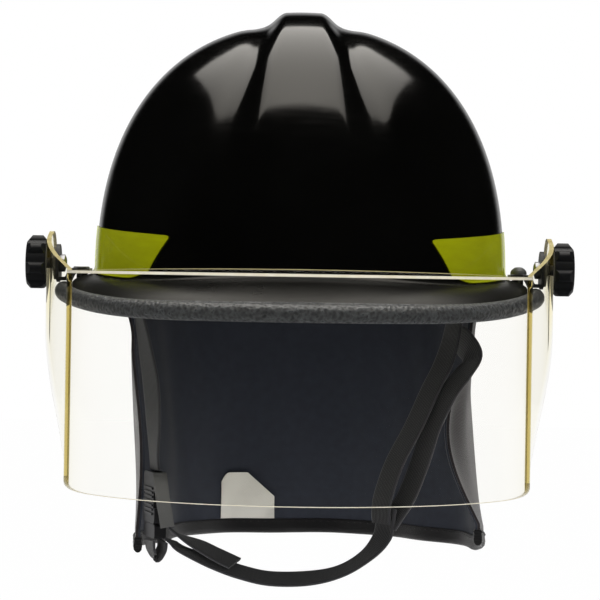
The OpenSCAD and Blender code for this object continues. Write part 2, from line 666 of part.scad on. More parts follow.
// A bracket: a foot on the brim with two screw holes and an upright that carries the pivot.
foot_out_x = brim_half_w - 5.9;
step_z = 15;
function bracket_profile(inner_x) = [
    [foot_in_x, foot_top_z], [foot_out_x, foot_top_z], [foot_out_x + 3.8, step_z + 0.2], [inner_x, step_z],
    [inner_x, pivot_z], [bracket_x, pivot_z], [bracket_x, step_z - 1.2], [inner_x + 1, step_z - 2.1],
    [foot_out_x + 2.6, step_z - 2], [foot_out_x - 1.2, foot_top_z - steel_t], [foot_in_x, foot_top_z - steel_t]
];
module bracket(s) {
    inner_x = bracket_x - steel_t;
    color([0.05, 0.05, 0.05])
    side(s)
    difference() {
        union() {
            translate([0, -pivot_front + bracket_len / 2, 0]) rotate([90, 0, 0]) linear_extrude(bracket_len)
            polygon(bracket_profile(inner_x));
            at_pivot(inner_x) cylinder(r = bracket_len / 2, h = steel_t);
        }
        for (y = screw_stations) translate([screw_x, y, 0]) cylinder(r = screw_r + 0.2, h = 60);
        at_pivot(100) cylinder(r = bolt_r + bolt_gap, h = 100);
    }
}
module shield_bracket_left() { bracket(-1); }
module shield_bracket_right() { bracket(1); }

// Wedge pads level the foot on the sloping brim, and wedge plates hold the screws below it.
module wedge(stops, w, level, f_range) {
    skin([
        for (i = [0 : 5])
            let (f = lerp(f_range[0], f_range[1], i / 5), sloping = [for (b = stops) brim(f, b, w)],
                flat = [for (q = sloping) [q[0], q[1], level]])
            level > sloping[0][2] ? concat(sloping, reversed(flat)) : concat(flat, reversed(sloping))
    ]);
}
pad_gap = 0.12;
module bracket_pads() {
    color([0.05, 0.05, 0.05])
    for (s = [-1, 1]) side(s)
    difference() {
        wedge([0.415, 0.52, 0.63, 0.74], -pad_gap, foot_top_z - steel_t - 0.05, [82.5, 89.2]);
        for (y = screw_stations) translate([screw_x, y, 0]) cylinder(r = screw_r + 0.2, h = 60);
    }
}
plate_low_z = 8;
module bracket_nut_plates() {
    color([0.3, 0.3, 0.3])
    for (s = [-1, 1]) side(s)
    difference() {
        wedge([0.3, 0.42, 0.52, 0.66], wall + 0.3, plate_low_z, [82.5, 89.2]);
        for (y = screw_stations) translate([screw_x, y, 0]) cylinder(r = screw_r + 0.05, h = 60);
    }
}

screw_seat_z = foot_top_z + 0.05;
module bracket_screws() {
    domed = [[0, 0], [screw_head_r, 0], [screw_head_r, 1.2], [3.8, 2.3], [2.9, 3.3], [1.5, 4.2], [0, 4.4]];
    flat = [[0, 0], [screw_head_r, 0], [screw_head_r, 0.5], [screw_head_r - 0.6, 0.9], [0, 0.9]];
    color([0.18, 0.18, 0.19])
    for (s = [-1, 1]) side(s) for (y = screw_stations) translate([screw_x, y, 0]) {
        translate([0, 0, plate_low_z - 0.6]) cylinder(r = screw_r, h = screw_seat_z - plate_low_z + 0.8);
        translate([0, 0, screw_seat_z]) rotate_extrude() polygon(s > 0 ? domed : flat);
    }
}

bolt_head_t = 3.6;
module pivot_bolt(s) {
    color([0.2, 0.2, 0.2])
    side(s) {
        at_pivot(bracket_x - steel_t - 0.05 - bolt_head_t)
        rotate_extrude() polygon([[0, 0.8], [3, 0], [5, 0.9], [5, bolt_head_t], [0, bolt_head_t]]);
        at_pivot(bracket_x - steel_t - 0.2) cylinder(r = bolt_r, h = knob_x + 7 - bracket_x + steel_t);
    }
}
module pivot_bolt_left() { pivot_bolt(-1); }
module pivot_bolt_right() { pivot_bolt(1); }

module washers(x, r) {
    for (s = [-1, 1]) side(s) at_pivot(x) difference() {
        cylinder(r = r, h = washer_t);
        translate([0, 0, -1]) cylinder(r = bolt_r + bolt_gap, h = washer_t + 2);
    }
}
module inner_washers() { color([0.2, 0.2, 0.16]) washers(bracket_x + bolt_gap, 9.5); }
module outer_washers() { color([0.15, 0.15, 0.15]) washers(ear_x + sheet_t + bolt_gap, 11.5); }

// A clamp knob: lobed body with bevelled rims, a dished face and a bored brass insert.
insert_r = 5;
insert_h = 8;
module knob(s) {
    lobe_r = 3.6;
    color([0.06, 0.06, 0.06])
    side(s)
    at_pivot(knob_x)
    difference() {
        intersection() {
            linear_extrude(knob_t) {
                circle(knob_r - 2.4);
                for (i = [0 : knob_lobes - 1])
                    rotate((i + 0.5) * 360 / knob_lobes)
                    translate([knob_r - lobe_r, 0]) circle(lobe_r, $fn = 24);
            }
            rotate_extrude() polygon([[0, 0], [knob_r - 2.6, 0], [knob_r + 0.1, 2.4],
                [knob_r + 0.1, knob_t - 3], [knob_r - 3.4, knob_t], [0, knob_t]]);
        }
        translate([0, 0, knob_t - 1.6])
        rotate_extrude() polygon([[0, 0.3], [6, 0], [9.4, 1.7], [9.4, 3], [0, 3]]);
        translate([0, 0, -1]) cylinder(r = insert_r, h = insert_h + 1);
    }
}
module knob_left() { knob(-1); }
module knob_right() { knob(1); }
module knob_insert(s) {
    color([0.7, 0.55, 0.25])
    side(s)
    at_pivot(knob_x + 0.05) difference() {
        cylinder(r = insert_r - 0.02, h = insert_h - 0.1);
        translate([0, 0, -1]) cylinder(r = bolt_r + bolt_gap, h = insert_h + 2);
    }
}
module knob_insert_left() { knob_insert(-1); }
module knob_insert_right() { knob_insert(1); }

// The neck protector hangs from the liner's rim.
// Its columns run from one front edge round the nape to the other.
cloth_right_f = 72;
cloth_left_f = 280;
cloth_cols = 44;
cloth_rows = 8;
hem_rise_left = 2;
hem_rise_right = 11;
cloth_w = liner_w + 9;
function cloth_plan(f) = plan(f, dome_half_w - cloth_w, dome_front - cloth_w, dome_rear - cloth_w, 2.15);
function cloth_low_z(f) = hem_z + (f < 180 ? hem_rise_right : hem_rise_left) * smooth((cos(f) + 0.3) / 0.6);
function cloth_swing(f, v) =
    let (right = f < 180, edge_f = right ? f - cloth_right_f : cloth_left_f - f,
        curl = smooth(1 - edge_f / 32))
    -(right ? 15 : 3) * curl * sin(180 * clamp01((v - 0.3) / 0.68))
    - (right ? 3 : 8) * smooth(v / 0.25) * pow(sin(f), 2)
    + v * fold_d * (sin(7 * f + 30) + 0.5 * sin(13 * f))
    + (right ? 8 : -5) * smooth((v - 0.3) / 0.7) * pow(sin(f), 2);
function cloth_point(f, v, inset) =
    let (c = cloth_plan(f), n = plan_normal(f, 1, 1.12, 1.2, 2.15), top = liner_rim_z(f) - seat_gap,
        low = cloth_low_z(f), out = cloth_swing(f, v) - inset)
    [c[0] + n[0] * out, c[1] + n[1] * out, lerp(top, low, v)];
module cloth_wall(v0, v1, rows, in0, in1) {
    skin([
        for (i = [0 : cloth_cols])
            let (f = lerp(cloth_right_f, cloth_left_f, i / cloth_cols))
            concat([for (j = [0 : rows]) cloth_point(f, lerp(v0, v1, j / rows), in0)],
                [for (j = [rows : -1 : 0]) cloth_point(f, lerp(v0, v1, j / rows), in1)])
    ]);
}
lining_in = cloth_t + 0.1;
module neck_protector() { color([0.19, 0.17, 0.18]) cloth_wall(0, 1, cloth_rows, 0, cloth_t); }
module neck_lining() { color([0.1, 0.12, 0.16]) cloth_wall(0, 1, cloth_rows, lining_in, lining_in + lining_t); }
module hem_binding() {
    color([0.12, 0.1, 0.1])
    skin([
        for (i = [0 : cloth_cols])
            let (f = lerp(cloth_right_f, cloth_left_f, i / cloth_cols), a = cloth_point(f, 1, -0.8),
                b = cloth_point(f, 1, lining_in + lining_t + 0.8))
            [a - [0, 0, 0.2], a - [0, 0, binding_h], b - [0, 0, binding_h], b - [0, 0, 0.2]]
    ]);
}
module neck_label() {
    cols = 4;
    rows = 4;
    label_in = lining_in + lining_t + soft_gap + 0.1;
    label_t = 0.6;
    label_f = [206, 187];
    color([0.85, 0.84, 0.8])
    skin([
        for (i = [0 : cols])
            let (f = lerp(label_f[0], label_f[1], i / cols))
            let (top = 0.825 + 0.09 * clamp01((i / cols - 0.5) * 2))
            concat([for (j = [0 : rows]) cloth_point(f, lerp(top, 0.998, j / rows), label_in + label_t)],
                [for (j = [rows : -1 : 0]) cloth_point(f, lerp(top, 0.998, j / rows), label_in)])
    ]);
}

// Chin strap webbing. The routes hang as worn empty: buckle on -X, two legs on +X.
// They spread with the dome, so that the legs stay beside the neck protector.
strap_spread = dome_half_w / 118.5;
function hang(stops) = [for (stop = stops) [[stop[0][0] * strap_spread, stop[0][1], stop[0][2]], stop[1]]];
cheek = [0.3, -0.95, 0];
root_inset = web_t / 2 + 1.25;
left_root_f = 282.5;
front_root_f = 75;
rear_root_f = 101;
root_top_z = 34;
root_low_z = 20;
facing_front = [-0.5, 0.87, 0];
function strap_root(f) =
    [for (z = [root_top_z, root_low_z]) [cap_face(f, z, root_inset), across(cap_normal(f))]];

module chin_strap_left() {
    color([0.1, 0.1, 0.11])
    webbing(concat(strap_root(left_root_f), hang([
        [[-92, -29, -2], [0.25, -0.95, 0]], [[-88, -33.5, -24], [0.4, -0.9, 0]],
        [[-84, -37, -45], [0.5, -0.87, 0]], [[-82.2, -38, -66], [0.45, -0.9, 0]], [[-81.6, -38, -84], cheek],
        [[-80.8, -38, -94], cheek]
    ])));
}
module chin_strap_right_front() {
    color([0.1, 0.1, 0.11])
    webbing(concat(strap_root(front_root_f), hang([
        [[89.5, -33, 2], [-0.25, 0.95, 0]], [[86.8, -42, -15], [-0.4, 0.9, 0]], [[82, -46, -31], facing_front],
        [[75.1, -49, -45], facing_front], [[65.8, -51, -66], facing_front], [[55.4, -52, -86.4], facing_front],
        [[49, -52, -105], facing_front], [[47.8, -52, -116], facing_front]
    ])));
}
module chin_strap_right_rear() {
    color([0.1, 0.1, 0.11])
    webbing(concat(strap_root(rear_root_f), hang([
        [[91.5, 9, -2], [0, 0.75, -0.65]], [[91.4, -14, -12], [0, 0.4, -0.9]],
        [[91.5, -35, -17], [0, 0.4, -0.9]], [[95.2, -50, -21], [-0.2, 0.5, -0.8]],
        [[98, -57, -28], [-0.45, 0.75, -0.3]],
        [[92.5, -58, -36], facing_front], [[84.5, -57, -47], facing_front], [[75.5, -55, -66], facing_front],
        [[69.5, -54.5, -86], facing_front], [[62.4, -54, -105], facing_front], [[57, -53, -117], facing_front]
    ])));
}
module chin_strap_lower() {
    color([0.09, 0.09, 0.09])
    webbing(hang([
        [[50.5, -52, -119.5], facing_front], [[48.6, -52.3, -129], facing_front],
        [[40.5, -54, -139], [-0.4, 0.87, 0]], [[26, -57, -147.8], [-0.2, 0.93, 0.15]],
        [[8, -59, -152], [0, 0.95, 0.28]], [[-14, -59, -152.6], [0, 0.95, 0.28]],
        [[-31, -57, -149.4], [0.1, 0.95, 0.25]], [[-45, -53.5, -145], [0.2, 0.93, 0.2]],
        [[-58, -49, -140.4], [0.15, 0.97, 0.1]], [[-66, -43.6, -137.2], [0.05, 1, 0]],
        [[-71.2, -41, -134], [0, 1, 0]]
    ]));
}
module chin_strap_tail() {
    color([0.1, 0.1, 0.1])
    webbing(hang([
        [[-70.6, -46.5, -128.2], facing_front], [[-62.6, -48.6, -131.6], [-0.2, 0.93, 0.1]],
        [[-54, -51.5, -135.4], [0, 0.95, 0.2]], [[-45, -54.5, -139.8], [0.05, 0.95, 0.25]],
        [[-34, -57.5, -144.6], [0.1, 0.95, 0.26]]
    ]));
}
module chin_strap_fold() {
    color([0.08, 0.08, 0.08])
    webbing(hang([
        [[-83, -39, -134.2], cheek], [[-82.4, -39.2, -139.2], cheek], [[-79.4, -39.6, -143.6], cheek],
        [[-76.4, -40, -139.2], cheek], [[-75.8, -40.2, -134.2], cheek]
    ]), steps = 4);
}

// The side-release buckle hangs turned towards the cheek.
buckle_at = [-80.4 * strap_spread, -38, -95];
socket_h = 29;
mouth_w = 19;
mouth_t = 4.2;
module at_buckle(z) { translate(buckle_at + [0, 0, z]) rotate([0, 0, -73]) children(); }
module buckle_socket() {
    ribs = 7;
    color([0.07, 0.07, 0.07])
    at_buckle(-socket_h)
    difference() {
        union() {
            translate([0, 0, socket_h / 2]) rotate([90, 0, 0]) translate([0, 0, -buckle_t / 2])
                linear_extrude(buckle_t) rounded_plate(buckle_w, socket_h, 3.5);
            for (i = [0 : ribs - 1])
                translate([-buckle_w / 2 + 4, -buckle_t / 2 - 0.7, 5 + i * 2.4]) cube([buckle_w - 8, 1.2, 1.1]);
        }
        translate([-mouth_w / 2, -mouth_t / 2, -1]) cube([mouth_w, mouth_t, 24]);
        for (s = [-1, 1]) translate([s * (buckle_w / 2 + 0.5) - 3, -buckle_t, 9]) cube([6, 2 * buckle_t, 9]);
        translate([-10.5, -1.4, socket_h - 3.4]) cube([21, 2.8, 5]);
    }
}
module buckle_tongue() {
    gap = 0.35;
    color([0.08, 0.08, 0.08])
    at_buckle(-socket_h - gap) {
        difference() {
            translate([0, 0, -4]) rotate([90, 0, 0]) translate([0, 0, -3.4])
                linear_extrude(6.8) rounded_plate(buckle_w - 1, 8, 2);
            translate([-10.5, -1.5, -9]) cube([21, 3, 4]);
        }
        translate([-2, -1.5, -0.5]) cube([4, 3, 19]);
        for (s = [-1, 1]) side(s) translate([0, 1.5, 0]) rotate([90, 0, 0]) linear_extrude(3)
            polygon([[4.4, -0.5], [8.6, -0.5], [9, 10], [9, 15], [7.4, 20], [5.8, 20], [5.4, 12]]);
    }
}
module strap_tag() {
    color([0.42, 0.42, 0.4])
    webbing(hang([
        [[-77.5, -50.6, -95], [1, 0.1, 0]], [[-76.6, -53.6, -100], [1, 0, 0]],
        [[-75.2, -54.4, -110], [1, 0, 0]], [[-73.6, -55.2, -118], [1, 0, 0]],
        [[-72.4, -56.4, -125], [1, 0, 0.1]]
    ]), width = 8, thick = 1);
}
module on_cap(f, z, inset) {
    a = cap_face(f, z - 4, 0);
    b = cap_face(f, z + 4, 0);
    n = cap_normal(f);
    lean = atan(((a - b) * n) / 8);
    translate(cap_face(f, z, inset)) rotate([0, -90 - lean, atan2(n[1], n[0])]) children();
}
module strap_rivets() {
    color([0.5, 0.5, 0.5])
    for (f = [left_root_f, front_root_f, rear_root_f]) for (z = [24, 30])
        on_cap(f, z, root_inset + web_t / 2 + 0.1) cylinder(r = 2.6, h = 1.2);
}

outer_shell();
edge_trim();
impact_liner();
inner_cap();
crown_strap_side();
crown_strap_left();
crown_strap_right();
suspension_keys();
crown_pad();
headband();
brow_pad();
nape_pad();
ratchet_housing();
ratchet_cover();
ratchet_knob();
ratchet_pinion();
nape_arm_left();
nape_arm_right();
patch_front_left();
patch_front_right();
patch_rear_left();
patch_rear_right();
face_shield();
shield_bracket_left();
shield_bracket_right();
bracket_screws();
bracket_pads();
bracket_nut_plates();
pivot_bolt_left();
pivot_bolt_right();
inner_washers();
outer_washers();
knob_left();
knob_right();
knob_insert_left();
knob_insert_right();
neck_protector();
neck_lining();
hem_binding();
neck_label();
strap_rivets();
chin_strap_left();
chin_strap_right_front();
chin_strap_right_rear();
chin_strap_lower();
chin_strap_tail();
chin_strap_fold();
buckle_socket();
buckle_tongue();
strap_tag();
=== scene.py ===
# %% [markdown]
# A structural fire helmet seen straight from the front: a gloss black shell with a rubber bead round its brim,
# a clear flip-down shield on two clamp knobs, a cloth neck protector and a webbing chin strap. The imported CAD
# model comes in first as a fixed frame. Hard pieces whose shape is right keep their solid and get a finish.
# Cloth, webbing, pads and the surfaces that mirror the room are made again here, finer, in the same place.

# %% Load the frame
import json
from math import atan2, cos, degrees, exp, pi, radians, sin, sqrt

import bmesh
import bpy
import numpy as np
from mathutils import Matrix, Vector


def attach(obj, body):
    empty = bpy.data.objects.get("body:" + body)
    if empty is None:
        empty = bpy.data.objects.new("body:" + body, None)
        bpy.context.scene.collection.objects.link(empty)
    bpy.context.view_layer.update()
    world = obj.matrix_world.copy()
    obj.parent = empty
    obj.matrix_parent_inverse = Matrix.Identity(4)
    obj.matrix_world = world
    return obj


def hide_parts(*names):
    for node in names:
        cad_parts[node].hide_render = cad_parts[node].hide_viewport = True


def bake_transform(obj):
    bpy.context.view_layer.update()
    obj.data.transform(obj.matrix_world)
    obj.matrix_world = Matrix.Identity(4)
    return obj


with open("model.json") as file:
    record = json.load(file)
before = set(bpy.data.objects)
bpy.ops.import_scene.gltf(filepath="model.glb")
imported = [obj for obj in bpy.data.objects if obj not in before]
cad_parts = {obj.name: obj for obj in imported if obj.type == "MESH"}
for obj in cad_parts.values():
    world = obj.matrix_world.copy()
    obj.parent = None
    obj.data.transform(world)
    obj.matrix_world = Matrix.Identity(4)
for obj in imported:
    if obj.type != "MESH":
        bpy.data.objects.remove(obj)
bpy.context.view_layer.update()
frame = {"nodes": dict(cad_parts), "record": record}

# %% [markdown]
# The camera comes next, because everything later is judged through it. The picture was taken from 1.5 m in
# front, level with the brim, with a long lens, and the camera leaned by just under a degree. A small shift
# puts the horizon a little above the middle of the frame without tilting the verticals.

# %% Camera
CAMERA_AT, LEAN_DEG = (0, -1.5, 0.02), -0.9
LENS_MM, SENSOR_MM, HORIZON_SHIFT = 153.8, 36, -0.0467
scene = bpy.context.scene
camera_data = bpy.data.cameras.new("camera")
camera = bpy.data.objects.new("camera", camera_data)
scene.collection.objects.link(camera)
camera.location = CAMERA_AT
camera.rotation_euler = (radians(90), radians(LEAN_DEG), 0)
camera_data.sensor_fit = "HORIZONTAL"
camera_data.sensor_width = SENSOR_MM
camera_data.lens = LENS_MM
camera_data.shift_y = HORIZON_SHIFT
scene.camera = camera
scene.view_settings.view_transform = "Standard"
print("camera at", tuple(camera.location), "lens", camera_data.lens)

# %% [markdown]
# Every piece here is a surface with rows and columns of points, worked out in millimetres and stored in metres.
# One helper turns such rings of points into a closed skin, another turns points and faces into an object that
# rides on its CAD body, and a third does both. A vector called run can go with the points: how far along and
# across the cloth each one is, in millimetres, so that a weave follows the cloth and not the room.

# %% Mesh helpers
def lerp(a, b, t):
    return a + (b - a) * t


def clamp(t):
    return min(1.0, max(0.0, t))


def smooth(t):
    c = clamp(t)
    return c * c * (3 - 2 * c)


def unit(v):
    return v / np.linalg.norm(v)


def skin_faces(rings, points, loop=False, caps=True):
    faces = []
    for i in range(rings if loop else rings - 1):
        k = (i + 1) % rings
        for j in range(points):
            n = (j + 1) % points
            faces.append((i * points + j, k * points + j, k * points + n, i * points + n))
    if caps and not loop:
        faces.append(tuple(range(points)))
        faces.append(tuple((rings - 1) * points + j for j in range(points - 1, -1, -1)))
    return faces


def piece(name, points, faces, body, slot, material, replaced=(), run=None, sharp=35):
    mesh = bpy.data.meshes.new(name)
    mesh.from_pydata((np.array(points, float) / 1000).tolist(), [], faces)
    mesh.validate()
    work = bmesh.new()
    work.from_mesh(mesh)
    bmesh.ops.recalc_face_normals(work, faces=work.faces)
    work.to_mesh(mesh)
    work.free()
    if run is not None:
        layer = mesh.attributes.new("run", "FLOAT_VECTOR", "POINT")
        layer.data.foreach_set("vector", np.array(run, np.float32).ravel())
    mesh.materials.append(material)
    mesh.shade_smooth()
    mesh.set_sharp_from_angle(angle=radians(sharp))
    made = bpy.data.objects.new(name, mesh)
    scene.collection.objects.link(made)
    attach(made, body)
    if replaced:
        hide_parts(*replaced)
    print(name, len(points), "points,", len(faces), "faces")
    return made


def swept(name, rings, body, slot, material, replaced=(), run=None, sharp=35, loop=False):
    points = [p for ring in rings for p in ring]
    faces = skin_faces(len(rings), len(rings[0]), loop)
    return piece(name, points, faces, body, slot, material, replaced, run, sharp)


print("mesh helpers:", [helper.__name__ for helper in (skin_faces, piece, swept)])


# %% [markdown]
# Materials are built from small node graphs. A helper adds a node, sets its values and plugs sockets in, so that
# each finish reads as a short list. Effects that several finishes need are node groups with named inputs and
# outputs: a moulded grain, the smudges of handling, and the weaves of webbing and of cloth.

# %% Node helpers
def node(tree, kind, inputs=None, **settings):
    made = tree.nodes.new("ShaderNode" + kind)
    for key, value in settings.items():
        setattr(made, key, value)
    for key, value in (inputs or {}).items():
        if isinstance(value, bpy.types.NodeSocket):
            tree.links.new(value, made.inputs[key])
        else:
            made.inputs[key].default_value = value
    return made


def math(tree, operation, *values):
    return node(tree, "Math", dict(enumerate(values)), operation=operation).outputs[0]


def mix_colour(tree, amount, a, b):
    return node(tree, "Mix", {0: amount, 6: a, 7: b}, data_type="RGBA").outputs[2]


def spread(tree, value, low, high):
    return node(tree, "MapRange", {"Value": value, "To Min": low, "To Max": high}).outputs[0]


def group(name, inputs, outputs):
    tree = bpy.data.node_groups.new(name, "ShaderNodeTree")
    for title, kind, default in inputs:
        socket = tree.interface.new_socket(title, in_out="INPUT", socket_type="NodeSocket" + kind)
        if default is not None:
            socket.default_value = default
    for title in outputs:
        tree.interface.new_socket(title, in_out="OUTPUT", socket_type="NodeSocketFloat")
    return tree, tree.nodes.new("NodeGroupInput").outputs, tree.nodes.new("NodeGroupOutput").inputs


def tone(colour, share=1):
    return (*[c * share for c in colour], 1)


def place_on(tree):
    return tree.nodes.new("ShaderNodeTexCoord").outputs["Object"]


print("node helpers:", [helper.__name__ for helper in (node, math, mix_colour, spread, group, tone, place_on)])


# %% [markdown]
# Moulded plastic, rubber and paint carry a fine grain that the mould or the spray gun left. A picture could be
# mapped on, but noise over a cell pattern needs no file, and it keeps its size in millimetres on every piece.

# %% Moulded grain
grain_tree, given, result = group(
    "moulded_grain", [("Place", "Vector", None), ("Size in mm", "Float", 1.0)], ["Height", "Patches"]
)
per_metre = math(grain_tree, "DIVIDE", 1000, given["Size in mm"])
fine_noise = {"Vector": given["Place"], "Scale": per_metre, "Detail": 3.0, "Roughness": 0.6}
fine = node(grain_tree, "TexNoise", fine_noise)
pits = node(grain_tree, "TexVoronoi", {"Vector": given["Place"], "Scale": per_metre}, feature="SMOOTH_F1")
broad = node(grain_tree, "TexNoise", {"Vector": given["Place"], "Scale": 28.0, "Detail": 4.0})
grain_tree.links.new(math(grain_tree, "ADD", fine.outputs[0], pits.outputs["Distance"]), result["Height"])
grain_tree.links.new(broad.outputs[0], result["Patches"])
print("grain group gives", list(result.keys()))

# %% [markdown]
# Hands and cloths leave a helmet unevenly glossy. Marks painted by hand would suit one view only, so here broad
# smudges are crossed by faint wipe lines, and each finish decides how far they change its roughness.

# %% Handling marks
marks_tree, given, result = group(
    "handling_marks", [("Place", "Vector", None), ("Size in mm", "Float", 60.0)], ["Marks"]
)
stretched = node(marks_tree, "Mapping", {"Vector": given["Place"], "Scale": (1.0, 1.0, 5.0)}).outputs[0]
smudge_scale = math(marks_tree, "DIVIDE", 1000, given["Size in mm"])
smudge = node(marks_tree, "TexNoise", {"Vector": given["Place"], "Scale": smudge_scale, "Detail": 5.0}).outputs[0]
wipes = node(marks_tree, "TexNoise", {"Vector": stretched, "Scale": 90.0, "Detail": 2.0}).outputs[0]
marks_tree.links.new(math(marks_tree, "MULTIPLY", smudge, math(marks_tree, "ADD", wipes, 0.5)), result["Marks"])
print("marks group gives", list(result.keys()))

# %% [markdown]
# Webbing shows ribs along the strap, each crossed by picks half a step off its neighbour's. Real threads would
# need millions of faces, so two folded sine waves give their height instead.

# %% Webbing weave
web_tree, given, result = group(
    "webbing_weave",
    [("Run", "Vector", None), ("Rib in mm", "Float", 1.5), ("Pick in mm", "Float", 1.3)],
    ["Height"],
)
parts = node(web_tree, "SeparateXYZ", {0: given["Run"]}).outputs
rib_at = math(web_tree, "DIVIDE", parts[1], given["Rib in mm"])
rib = math(web_tree, "ABSOLUTE", math(web_tree, "SINE", math(web_tree, "MULTIPLY", rib_at, pi)))
offset = math(web_tree, "MULTIPLY", math(web_tree, "FLOOR", rib_at), 0.5)
pick_at = math(web_tree, "ADD", math(web_tree, "DIVIDE", parts[0], given["Pick in mm"]), offset)
pick = math(web_tree, "ABSOLUTE", math(web_tree, "SINE", math(web_tree, "MULTIPLY", pick_at, pi)))
web_tree.links.new(math(web_tree, "MULTIPLY", rib, spread(web_tree, pick, 0.55, 1.0)), result["Height"])
print("webbing group gives", list(result.keys()))

# %% [markdown]
# Twill has slanting lines over a finer cross weave, and thick places in its yarn, called slubs. Sine waves give
# the lines, and a soft noise that follows the cloth gives the slubs, which tint it.

# %% Twill weave
twill_tree, given, result = group(
    "twill_weave", [("Run", "Vector", None), ("Thread in mm", "Float", 0.8)], ["Height", "Slubs"]
)
parts = node(twill_tree, "SeparateXYZ", {0: given["Run"]}).outputs
along = math(twill_tree, "DIVIDE", parts[0], given["Thread in mm"])
up = math(twill_tree, "DIVIDE", parts[1], given["Thread in mm"])
slant = math(twill_tree, "SINE", math(twill_tree, "MULTIPLY", math(twill_tree, "ADD", along, up), pi))
cross = math(twill_tree, "SINE", math(twill_tree, "MULTIPLY", up, 2 * pi))
slub_noise = {"Vector": given["Run"], "Scale": 0.16, "Detail": 6.0, "Roughness": 0.65}
slubs = node(twill_tree, "TexNoise", slub_noise).outputs[0]
height = math(twill_tree, "ADD", slant, math(twill_tree, "MULTIPLY", cross, 0.4))
twill_tree.links.new(height, result["Height"])
twill_tree.links.new(slubs, result["Slubs"])
print("node groups:", [g.name for g in bpy.data.node_groups])


# %% [markdown]
# Most hard finishes differ only in colour, gloss and grain, so one function makes them all. It tints the
# colour and the roughness with the handling marks, and lifts the surface with the grain. Plain numbers go
# straight on the Principled shader's own sockets.

# %% Helpers for finishes
def use(tree, group_tree, **inputs):
    made = tree.nodes.new("ShaderNodeGroup")
    made.node_tree = group_tree
    for key, value in inputs.items():
        title = key.replace("_", " ")
        if isinstance(value, bpy.types.NodeSocket):
            tree.links.new(value, made.inputs[title])
        else:
            made.inputs[title].default_value = value
    return made.outputs


def start(name, **plain):
    material = bpy.data.materials.new(name)
    material.use_nodes = True
    tree = material.node_tree
    shader = tree.nodes["Principled BSDF"]
    for key, value in plain.items():
        shader.inputs[key.replace("_", " ")].default_value = value
    return material, tree, shader


def bump(tree, shader, height, depth_mm, strength=1.0):
    made = node(tree, "Bump", {"Height": height, "Distance": depth_mm / 1000, "Strength": strength})
    tree.links.new(made.outputs[0], shader.inputs["Normal"])


def hard(name, colour, rough, grain_mm=1.0, depth_mm=0.02, vary=0.25, **plain):
    material, tree, shader = start(name, **plain)
    place = place_on(tree)
    grain = use(tree, grain_tree, Place=place, Size_in_mm=grain_mm)
    marks = use(tree, marks_tree, Place=place)["Marks"]
    tint = mix_colour(tree, grain["Patches"], tone(colour, 1 - vary), tone(colour, 1 + vary))
    tree.links.new(tint, shader.inputs["Base Color"])
    tree.links.new(spread(tree, marks, max(0.02, rough - 0.12), rough + 0.12), shader.inputs["Roughness"])
    bump(tree, shader, grain["Height"], depth_mm)
    return material


print("a finish starts from", [helper.__name__ for helper in (use, start, bump, hard)])

# %% [markdown]
# The hard pieces run from bead foam and nylon to zinc and brass. Each line gives a colour and a roughness, then
# the grain's size and depth in millimetres, and how much the colour varies.

# %% Hard finishes
finishes = {
    "foam": hard("bead_foam", (0.03, 0.03, 0.031), 0.8, 3.2, 0.5, 0.3),
    "cap": hard("moulded_cap", (0.014, 0.014, 0.015), 0.45, 1.4, 0.03),
    "black_plastic": hard("satin_black_plastic", (0.012, 0.012, 0.013), 0.38, 0.7, 0.03),
    "light_plastic": hard("pale_nylon", (0.52, 0.51, 0.47), 0.4, 0.7, 0.02, 0.1),
    "black_steel": hard("painted_black_steel", (0.012, 0.012, 0.013), 0.42, 1.2, 0.03),
    "steel": hard("zinc_plated_steel", (0.42, 0.42, 0.43), 0.3, 0.9, 0.01, 0.15, Metallic=1.0),
    "dark_steel": hard("dark_zinc_screws", (0.09, 0.092, 0.09), 0.42, 0.9, 0.02, 0.2, Metallic=0.35),
    "rubber": hard("soft_rubber_pads", (0.015, 0.015, 0.015), 0.7, 1.0, 0.06),
    "washer": hard("fibre_washers", (0.09, 0.085, 0.06), 0.55, 0.8, 0.05),
    "knob_plastic": hard(
        "black_knob_plastic", (0.0055, 0.0058, 0.0065), 0.38, 0.6, 0.02, 0.2, Specular_IOR_Level=0.3
    ),
    "brass": hard("turned_brass", (0.62, 0.42, 0.15), 0.28, 0.8, 0.01, 0.12, Metallic=1.0),
    "tag_plastic": hard("soft_grey_tag", (0.12, 0.12, 0.116), 0.5, 0.8, 0.05, 0.15),
}
print("hard finishes:", sorted(finishes))

# %% [markdown]
# The shell is lacquered black composite. The dome is polished like a mirror, while the brim, which hands and
# tools touch, has gone satin. A point value called brim, stored on the mesh, says which is which, and it drives
# both the roughness and a slight greying. A darkened specular tint keeps the grazing edges from turning pale.

# %% Lacquer of the shell
POLISH, SATIN = (0.03, 0.22), (0.22, 0.38)
DOME_SHINE, BRIM_SHINE, BRIM_BLACK = (0.45, 0.44, 0.42), (0.125, 0.12, 0.11), (0.004, 0.004, 0.0036)
lacquer, tree, shader = start("gloss_black_shell", IOR=2.0)
place = place_on(tree)
on_brim = node(tree, "Attribute", attribute_name="brim").outputs["Fac"]
grain = use(tree, grain_tree, Place=place, Size_in_mm=6.0)
marks = use(tree, marks_tree, Place=place)["Marks"]
dome_black = mix_colour(tree, grain["Patches"], (0.0004, 0.0004, 0.0003, 1), (0.001, 0.001, 0.0009, 1))
tree.links.new(mix_colour(tree, on_brim, dome_black, tone(BRIM_BLACK)), shader.inputs["Base Color"])
tree.links.new(mix_colour(tree, on_brim, tone(DOME_SHINE), tone(BRIM_SHINE)), shader.inputs["Specular Tint"])
gloss = {0: on_brim, 2: spread(tree, marks, *POLISH), 3: spread(tree, marks, *SATIN)}
tree.links.new(node(tree, "Mix", gloss).outputs[0], shader.inputs["Roughness"])
bump(tree, shader, grain["Height"], 0.0006)
finishes["shell"] = lacquer
print("made", lacquer.name, "rough", POLISH, "on the dome and", SATIN, "on the brim")

